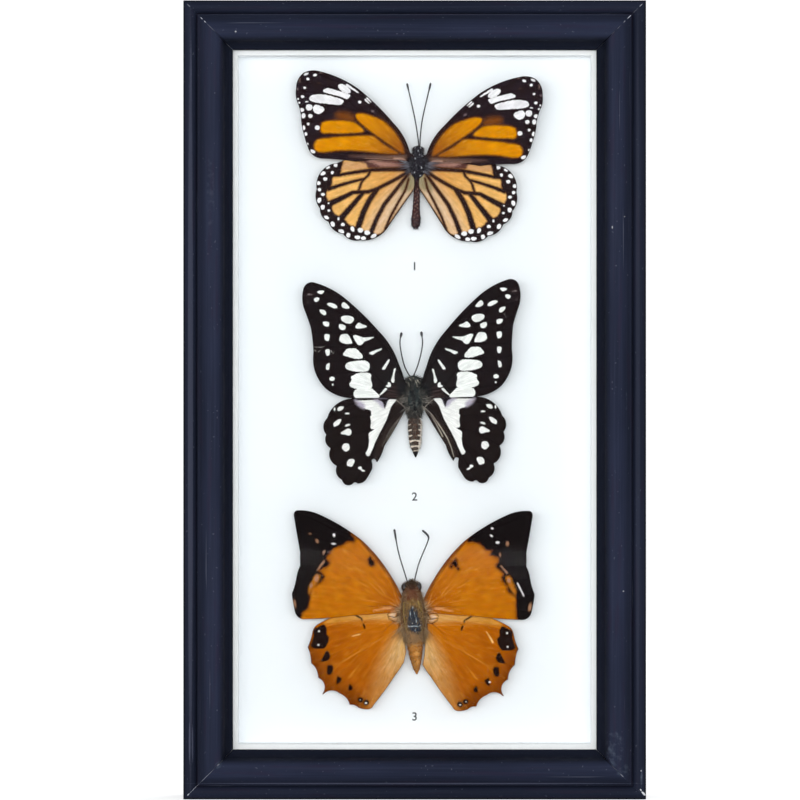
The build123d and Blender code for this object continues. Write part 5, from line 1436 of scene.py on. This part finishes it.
HORN = plain_dark("feeler_horn", srgb(34, 32, 36), 0.5)
EYE = plain_dark("eye_horn", srgb(30, 22, 20), 0.22)

# Upper body: slim and black, white-dotted at the front, with a thin mottled brown abdomen.
UPPER_PROFILE = [(6.3, 0.1), (5.9, 1.1), (4.9, 1.75), (4.1, 1.7), (3.4, 1.7), (2.2, 2.3), (0.4, 2.9),
                 (-1.6, 2.85), (-3.6, 1.9), (-4.9, 1.05), (-9, 1.05), (-15, 1.25), (-18.4, 1.5),
                 (-20.0, 1.2), (-21.2, 0.2)]
UPPER_MASKS = {
    "dots": {"ovals": [
        (-1.0, 5.4, 0.45, 0.4, 0), (0.8, 5.5, 0.4, 0.4, 0), (0.0, 4.5, 0.4, 0.35, 0),
        (-1.5, 3.0, 0.5, 0.4, 0), (1.4, 2.8, 0.5, 0.4, 0), (-2.1, 1.3, 0.4, 0.6, 0),
        (2.2, 1.0, 0.4, 0.7, 0), (-0.9, 1.9, 0.35, 0.6, 0), (1.3, -1.0, 0.35, 0.6, 0),
        (-1.8, -0.9, 0.35, 0.5, 0), (0.5, 3.2, 0.3, 0.3, 0), (-0.2, -0.2, 0.25, 0.5, 0),
        (2.0, -2.3, 0.4, 0.5, 0), (-0.9, -2.6, 0.35, 0.5, 0), (0.9, -3.6, 0.5, 0.4, 0)]},
    "speckles": {"ovals": [
        ((-1) ** k * (0.25 + 0.12 * (k % 4)), -8.0 - 0.62 * k, 0.34, 0.4, 40 * k) for k in range(20)]},
    "tail": {"ovals": [(0.0, -20.9, 0.5, 0.4, 0)]},
}
UPPER_SKIN = furred(
    "upper_skin", srgb(26, 25, 33), srgb(66, 33, 29), srgb(74, 68, 76), srgb(30, 19, 19), 0.5,
    [("speckles", srgb(146, 112, 102), 0.2, 0.6), ("tail", srgb(196, 190, 188), 0.15, 0.3),
     ("dots", srgb(222, 222, 230), 0.1, 0.4)])
insect_body("upper", UPPER_MIDDLE, -0.3, 1.8, UPPER_PROFILE, (-4.8, -19.2, 9),
            lambda x, z: np.clip((-4 - z) / 2, 0, 1), UPPER_MASKS, UPPER_SKIN)
UPPER_HAIR = hair_color("upper_hair", srgb(24, 23, 29), srgb(150, 148, 160))
fur("upper", UPPER_MIDDLE, -0.3, 1.8, UPPER_PROFILE,
    [(1500, (-4.0, 6.0), (-15, 195), 0.8, -0.4, 0.12), (110, (-3.0, 5.0), (20, 160), 0.7, -0.4, 1.0),
     (700, (-3.8, 3.2), (-20, 25), 1.5, -0.3, 0.06), (700, (-3.8, 3.2), (155, 200), 1.5, -0.3, 0.06),
     (240, (-20.9, -17.0), (-10, 190), 0.7, -1.2, 0.15), (200, (-17.0, -5.0), (-10, 190), 0.35, -0.8, 0.25)],
    UPPER_HAIR, 11)
ball("upper", UPPER_MIDDLE, -0.3, 1.8, [(-1.15, 4.9, 0.5), (1.15, 4.9, 0.5)], (0.7, 0.85, 0.8), EYE)
root_hairs("upper", UPPER_MIDDLE, [(60, (-16, 12), 2.6, 8.0, 0.75), (50, (-55, -20), 3.0, 6.0, 0.5),
                                   (220, (-40, 50), 2.4, 4.0, 0.02)],
           UPPER_HAIR, 21)
antennae("upper", UPPER_MIDDLE, [((0.1, 5.6), (-0.3, 9.5), (-1.4, 16.0), (-3.8, 26.7)),
                                 ((0.4, 5.6), (0.6, 9.5), (1.4, 15.6), (4.0, 26.8))],
         (2.8, 0.34), HORN)

# Middle body: dark green-grey thorax, brown abdomen with pale lines between its rings.
MIDDLE_PROFILE = [(8.0, 0.1), (7.5, 1.3), (6.4, 2.3), (5.4, 2.2), (4.8, 2.1), (3.4, 2.6), (1.0, 3.0),
                  (-1.6, 2.85), (-3.6, 2.2), (-4.8, 2.1), (-8, 2.25), (-12, 2.1), (-15, 1.7),
                  (-17.2, 0.9), (-18.8, 0.15)]
MIDDLE_RINGS = 7
MIDDLE_RING = 12.6 / MIDDLE_RINGS
MIDDLE_MASKS = {
    "thorax_line": {"strokes": [(0.8, 0.5, ((-0.6, 6.0), (-0.4, 2.0), (0.2, -4.6)))],
                    "ovals": [(-1.6, 3.6, 0.8, 2.0, 0), (1.0, 3.9, 1.0, 1.8, 0), (1.7, -1.0, 0.8, 2.0, 0),
                              (-1.9, -1.6, 0.8, 2.2, 0), (0.9, 0.6, 0.6, 1.4, 0)]},
    "collar": {"strokes": [(0.16, 0.1, ((-1.4, 7.0), (-0.8, 6.3))), (0.16, 0.12, ((-1.7, 5.6), (-1.5, 4.4))),
                           (0.14, 0.12, ((0.5, 6.2), (0.9, 5.4))), (0.18, 0.14, ((1.2, 6.4), (1.8, 5.4))),
                           (0.16, 0.12, ((1.0, 5.0), (1.2, 4.2))), (0.1, 0.1, ((-0.2, 7.2), (0.2, 6.7)))]},
    "side_tuft": {"ovals": [(-2.5, 0.4, 0.5, 1.2, 10), (2.5, 1.0, 0.5, 1.4, -10), (1.7, -4.6, 0.4, 1.8, 0),
                            (-2.2, -3.6, 0.5, 0.8, 0)]},
    "studs": {"ovals": [(side * (0.95 - 0.05 * k), -6.4 - MIDDLE_RING * k, 0.5, 0.8, 0)
                        for k in range(6) for side in (-1, 1)]},
    "bands": {"strokes": [(0.1 + 0.07 * k, 0.06 + 0.05 * k, ((side * 2.1, -6.5 - MIDDLE_RING * k),
                                                            (side * (1.5 - 0.16 * k), -6.2 - MIDDLE_RING * k)))
                          for k in range(6) for side in (-1, 1)]
              + [(0.16, 0.16, ((-1.5, -13.7), (0.0, -13.2), (1.5, -13.7))),
                 (0.2, 0.2, ((-1.4, -15.5), (0.0, -15.1), (1.4, -15.5))),
                 (0.2, 0.2, ((-1.0, -17.0), (0.0, -16.7), (1.0, -17.0)))]},
    "nape": {"areas": [[(-3, -3.0), (3, -3.0), (3, -5.0), (1.0, -6.4), (-1.0, -6.2), (-3, -5.2)]]},
    "tail": {"areas": [[(-1.0, -17.0), (1.0, -17.0), (0.4, -19.2), (-0.4, -19.2)]]},
    "fringe": {"strokes": [(0.22, 0.3, ((2.1, -5.0), (2.2, -8.0), (1.9, -12.0), (1.5, -15.0), (0.8, -17.6)))]},
}
MIDDLE_SKIN = furred(
    "middle_skin", srgb(46, 56, 58), srgb(76, 54, 45), srgb(104, 108, 104), srgb(126, 102, 86), 0.5,
    [("nape", srgb(60, 55, 54), 1.9, 4.0), ("studs", srgb(44, 30, 27), 0.3, 0.6),
     ("bands", srgb(232, 216, 200), 0.16, 0.5), ("thorax_line", srgb(20, 22, 26), 0.35, 1.4),
     ("side_tuft", srgb(104, 98, 90), 0.25, 1.6), ("fringe", srgb(226, 214, 202), 0.25, 1.2),
     ("collar", srgb(206, 196, 178), 0.1, 0.3), ("tail", srgb(30, 26, 28), 0.25, 0.6)])
insect_body("middle", MIDDLE_MIDDLE, -0.3, -1.5, MIDDLE_PROFILE, (-4.6, -17.2, MIDDLE_RINGS),
            lambda x, z: np.clip((-3.6 - z) / 2.4, 0, 1), MIDDLE_MASKS, MIDDLE_SKIN)
MIDDLE_HAIR = hair_color("middle_hair", srgb(32, 36, 38), srgb(206, 196, 184))
fur("middle", MIDDLE_MIDDLE, -0.3, -1.5, MIDDLE_PROFILE,
    [(1700, (-4.5, 7.4), (-20, 200), 0.9, -0.6, 0.08), (110, (-5.0, 7.0), (0, 180), 0.9, -0.6, 0.55),
     (300, (3.6, 7.9), (10, 170), 1.2, 0.5, 0.0), (500, (1.0, 7.0), (-20, 30), 1.6, 0.1, 0.0),
     (500, (1.0, 7.0), (150, 200), 1.6, 0.1, 0.0), (380, (-5.8, -3.2), (-10, 190), 1.2, -1.2, 0.08),
     (420, (-4.6, 1.4), (-25, 20), 1.3, -0.6, 0.05), (420, (-4.6, 1.4), (160, 205), 1.3, -0.6, 0.05),
     (150, (-16.0, -6.6), (-30, 12), 0.9, -1.0, 0.9), (110, (-16.0, -7.0), (168, 210), 0.7, -1.0, 0.8),
     (120, (-17.0, -5.0), (20, 160), 0.4, -1.0, 0.35)],
    MIDDLE_HAIR, 12)
ball("middle", MIDDLE_MIDDLE, -0.3, -1.5, [(-1.6, 6.3, 0.5), (1.6, 6.3, 0.5)], (0.75, 0.9, 0.9), EYE)
root_hairs("middle", MIDDLE_MIDDLE, [(26, (-16, 10), 3.0, 7.0, 0.6), (16, (-60, -36), 3.4, 8.0, 0.5),
                                     (160, (20, 66), 2.6, 5.6, 0.02), (120, (-30, 20), 2.8, 5.0, 0.05)],
           MIDDLE_HAIR, 22)
antennae("middle", MIDDLE_MIDDLE,
         [((-1.4, 7.0), (-3.6, 11.4), (-4.9, 18.0), (-4.4, 22.0)),
          ((-0.6, 7.4), (1.2, 12.2), (2.4, 18.0), (2.0, 22.3))],
         (2.0, 0.42), HORN)

# Lower body: stout, with a brown head, a rubbed blue-grey back between hairy olive sides, and
# an amber abdomen.
LOWER_PROFILE = [(11.2, 0.1), (10.6, 1.7), (9.2, 2.9), (7.8, 2.9), (6.8, 3.0), (5.2, 3.5), (2.4, 4.1),
                 (-1.0, 4.15), (-4.2, 3.8), (-7.2, 3.1), (-9.0, 2.85), (-12, 2.4), (-15, 1.8),
                 (-18, 0.9), (-19.4, 0.2)]
LOWER_MASKS = {
    "rear": {"areas": [[(-4, -5.6), (4, -5.6), (4, -9.2), (1.4, -8.4), (0.0, -9.6), (-1.6, -8.4), (-4, -9.6)]]},
    "collar": {"areas": [[(-4, 8.8), (4, 8.8), (4, 5.4), (2.2, 4.6), (0.4, 5.4), (-1.8, 4.8), (-4, 5.2)]]},
    "head": {"areas": [[(-4, 8.4), (-1.6, 9.0), (0.0, 8.4), (1.8, 9.0), (4, 8.4), (4, 13), (-4, 13)]]},
    "crown": {"ovals": [(0.0, 9.4, 2.6, 1.8, 0)]},
    "brow": {"ovals": [(-0.9, 10.6, 1.0, 1.0, 0), (1.0, 10.6, 1.1, 1.0, 0), (0.1, 11.0, 0.4, 0.5, 0)]},
    "saddle": {"areas": [[(-1.3, 2.0), (-0.5, 2.6), (0.6, 2.2), (1.5, 0.6), (2.3, -2.2), (2.5, -4.6),
                          (1.6, -6.2), (-0.4, -5.8), (-1.8, -4.2), (-1.9, -1.6), (-1.6, 0.8)]]},
    "seams": {"strokes": [(0.22, 0.1, ((-3.2, 5.0), (-3.6, 1.0), (-3.1, -4.4), (-2.6, -7.2))),
                          (0.24, 0.1, ((3.0, 5.0), (3.7, 1.0), (3.5, -3.4), (2.8, -7.4))),
                          (0.1, 0.08, ((-2.5, 3.4), (-2.6, -1.0), (-2.2, -4.8))),
                          (0.12, 0.1, ((2.5, 3.0), (2.9, -1.6), (2.9, -4.2)))]},
    "gold": {"strokes": [(0.2, 0.16, ((-2.9, 4.2), (-3.1, 0.0), (-2.6, -4.4))),
                         (0.2, 0.14, ((1.9, 4.4), (2.9, 0.6), (3.2, -3.2))),
                         (0.16, 0.1, ((2.8, -4.2), (2.3, -5.6), (1.3, -6.8)))]},
    "glints": {"strokes": [(0.12, 0.12, ((-2.1, -3.2), (-1.4, -3.7), (0.0, -3.5), (1.6, -3.8), (2.2, -3.3))),
                           (0.06, 0.1, ((0.0, 2.8), (0.7, -0.8), (1.1, -3.2))),
                           (0.05, 0.08, ((-1.0, 1.4), (-0.5, -2.8))), (0.05, 0.06, ((0.2, -4.2), (0.6, -5.6)))]},
    # Painted highlights: lighter ovals where light catches the abdomen.
    "painted_shine": {"ovals": [(0.4, -12.6, 1.6, 1.6, 0), (0.2, -9.8, 2.4, 0.5, 10), (0.6, -15.4, 0.8, 1.8, 0)]},
}
# The flank layer paints shade on the sides of the round body.
LOWER_SKIN = furred(
    "lower_skin", srgb(118, 88, 50), srgb(190, 120, 46), srgb(176, 138, 84), srgb(120, 70, 30), 0.5,
    [("flank_shade", srgb(122, 72, 32), 0.5, 0.8), ("rear", srgb(150, 112, 74), 0.6, 1.6),
     ("collar", srgb(102, 58, 38), 0.6, 1.4), ("head", srgb(48, 31, 25), 0.4, 0.8),
     ("crown", srgb(66, 42, 32), 0.5, 0.8), ("brow", srgb(34, 24, 24), 0.3, 0.5),
     ("painted_shine", srgb(208, 146, 74), 0.4, 0.8), ("gold", srgb(164, 140, 76), 0.2, 1.2),
     ("saddle", srgb(42, 48, 58), 0.8, 3.0), ("seams", srgb(62, 38, 28), 0.16, 1.2),
     ("glints", srgb(170, 178, 184), 0.12, 0.7)])
insect_body("lower", LOWER_MIDDLE, 0.2, -3.5, LOWER_PROFILE, (-8.6, -18.4, 6),
            lambda x, z: np.clip((-6.5 - z) / 3, 0, 1), LOWER_MASKS, LOWER_SKIN)
LOWER_HAIR = hair_color("lower_hair", srgb(54, 36, 26), srgb(222, 186, 140))
fur("lower", LOWER_MIDDLE, 0.2, -3.5, LOWER_PROFILE,
    [(900, (-8.0, 7.6), (-25, 62), 1.5, -0.8, 0.42), (900, (-8.0, 7.6), (118, 205), 1.5, -0.8, 0.42),
     (260, (4.6, 8.6), (30, 150), 0.9, -0.9, 0.22), (420, (9.6, 11.3), (10, 170), 1.1, 1.0, 0.0),
     (500, (7.6, 10.0), (-10, 190), 0.7, 0.1, 0.12),
     (120, (-4.0, 3.4), (50, 130), 0.6, -1.0, 0.35), (420, (-9.4, -5.0), (10, 170), 1.4, -1.6, 0.5),
     (260, (-2.0, 4.5), (-25, 5), 2.2, 0.0, 1.0), (260, (-2.0, 4.5), (175, 205), 2.2, 0.0, 1.0),
     (340, (-9.0, -4.0), (-20, 12), 1.9, -1.2, 0.55), (340, (-9.0, -4.0), (168, 200), 1.9, -1.2, 0.55),
     (220, (-18.0, -9.0), (-20, 200), 0.5, -1.6, 0.6)],
    LOWER_HAIR, 13)
ball("lower", LOWER_MIDDLE, 0.2, -3.5, [(-2.3, 9.2, 0.9), (2.3, 9.2, 0.9)], (1.05, 1.4, 1.3), EYE)
root_hairs("lower", LOWER_MIDDLE, [(90, (6, 60), 4.0, 8.0, 0.85), (60, (-30, -4), 4.2, 7.6, 0.85),
                                   (120, (-70, -44), 5.0, 10.5, 0.6), (60, (-14, 24), 4.0, 6.0, 0.1)],
           LOWER_HAIR, 23)
antennae("lower", LOWER_MIDDLE,
         [((-1.4, 9.8), (-2.4, 13.0), (-4.6, 20.4), (-6.0, 28.0)),
          ((0.4, 10.2), (2.0, 16.6), (4.6, 23.0), (5.2, 25.2), (4.4, 26.5), (3.1, 27.6))],
         (4.6, 0.34), HORN)


def dried_glue():
    """Yellowish dried glue, slightly milky."""
    material, tree = new_material("dried_glue")
    place = shade(tree, "TexCoord").outputs["Object"]
    color = blend(tree, noise(tree, place, 700.0, 3.0), srgb(206, 200, 176), srgb(232, 228, 212))
    surface(tree, color, 0.35, noise(tree, place, 1200.0), 0.3, 0.05)
    return material


dress(dried_glue(), "upper_glue_dab", "middle_glue_dab", "lower_glue_dab")

# ---- Floor, backdrop, lamps and camera -------------------------------------------------------
# A pale sweep that curves up behind the case, large soft lamps before it and beside it, a weak
# one behind, and a long lens level with the middle of the case.

PHOTO_SIZE = 800
PHOTO_LEFT = 183.0  # pixel columns of the case's outer edges
PHOTO_RIGHT = 646.4
PHOTO_BOTTOM = 799.9
CAMERA_AWAY = 1850.0
FLOOR_HALF = 4000.0
SWEEP_START = 2900.0
SWEEP_RADIUS = 900.0


def sweep():
    """Strip carried sideways: flat floor, then a quarter circle, then a wall."""
    bend = np.radians(np.linspace(0, 90, 25))
    y = np.concatenate([[-3600.0], SWEEP_START + SWEEP_RADIUS * np.sin(bend), [SWEEP_START + SWEEP_RADIUS]])
    z = np.concatenate([[0.0], SWEEP_RADIUS * (1 - np.cos(bend)), [4200.0]])
    x = np.array([-FLOOR_HALF, FLOOR_HALF])
    points = np.stack([np.repeat(x[None], len(y), 0), np.repeat(y[:, None], 2, 1),
                       np.repeat(z[:, None], 2, 1)], -1).reshape(-1, 3) * MM
    mesh = bpy.data.meshes.new("sweep")
    mesh.from_pydata(points.tolist(), [], grid_faces(len(y), 2, wrap=False).tolist())
    mesh.polygons.foreach_set("use_smooth", [True] * len(mesh.polygons))
    made = bpy.data.objects.new("sweep", mesh)
    bpy.context.scene.collection.objects.link(made)
    material, tree = new_material("pale_sweep")
    diffuse = shade(tree, "BsdfDiffuse", Color=(0.86, 0.87, 0.88, 1.0))
    glow = shade(tree, "Emission", Color=(1.0, 1.0, 1.0, 1.0))
    rays = shade(tree, "LightPath")
    seen = math(tree, "MAXIMUM", rays.outputs["Is Camera Ray"], rays.outputs["Is Transmission Ray"])
    seen = math(tree, "MAXIMUM", seen, rays.outputs["Is Glossy Ray"])
    tree.links.new(math(tree, "MULTIPLY", seen, 0.62), glow.inputs["Strength"])
    add = shade(tree, "AddShader")
    tree.links.new(diffuse.outputs[0], add.inputs[0])
    tree.links.new(glow.outputs[0], add.inputs[1])
    out = shade(tree, "OutputMaterial")
    tree.links.new(add.outputs[0], out.inputs[0])
    mesh.materials.append(material)


def lamp(name, place, size, watts, mirrored=True, aim=(0.0, 0.0, 0.13)):
    """Square area lamp that faces the case; one that isn't mirrored leaves no sheen."""
    data = bpy.data.lights.new(name, "AREA")
    data.shape = "SQUARE"
    data.size = size
    data.energy = watts
    made = bpy.data.objects.new(name, data)
    made.location = place
    made.rotation_euler = (Vector(aim) - Vector(place)).to_track_quat("-Z", "Y").to_euler()
    made.visible_glossy = mirrored
    bpy.context.scene.collection.objects.link(made)


sweep()
lamp("front_lamp", (0.0, -3.1, 0.2), 0.8, 44.0, mirrored=False)
lamp("near_left_lamp", (-0.8, -2.65, 0.15), 0.7, 14.0)
lamp("near_right_lamp", (0.8, -2.65, 0.15), 0.7, 11.6)
lamp("side_lamp", (-1.5, -2.2, 0.35), 0.8, 6.7)
lamp("back_lamp", (0.9, 1.0, 0.9), 0.9, 5.0)

world = bpy.data.worlds.new("soft_room")
world.use_nodes = True
background = world.node_tree.nodes["Background"]
background.inputs[0].default_value = (0.97, 0.985, 1.0, 1.0)
rays = shade(world.node_tree, "LightPath")
shown = math(world.node_tree, "MAXIMUM", rays.outputs["Is Camera Ray"], rays.outputs["Is Glossy Ray"])
shown = math(world.node_tree, "MAXIMUM", shown, rays.outputs["Is Transmission Ray"])
strength = math(world.node_tree, "MAXIMUM", shown, 0.45)
world.node_tree.links.new(strength, background.inputs[1])
bpy.context.scene.world = world

scale = CASE_WIDTH / (PHOTO_RIGHT - PHOTO_LEFT)
camera_data = bpy.data.cameras.new("camera")
camera_data.sensor_width = 36.0
camera_data.lens = 36.0 * CAMERA_AWAY / (PHOTO_SIZE * scale)
camera_data.clip_end = 20.0
camera = bpy.data.objects.new("camera", camera_data)
camera_x = (PHOTO_SIZE / 2 - (PHOTO_LEFT + PHOTO_RIGHT) / 2) * scale
camera_z = (PHOTO_BOTTOM - PHOTO_SIZE / 2) * scale
bead_front = BACK_Y - BEAD_TOP
camera.location = (camera_x * MM, (bead_front - CAMERA_AWAY) * MM, camera_z * MM)
camera.rotation_euler = (np.pi / 2, 0.0, 0.0)
bpy.context.scene.collection.objects.link(camera)
bpy.context.scene.camera = camera
bpy.context.scene.view_settings.view_transform = "Standard"
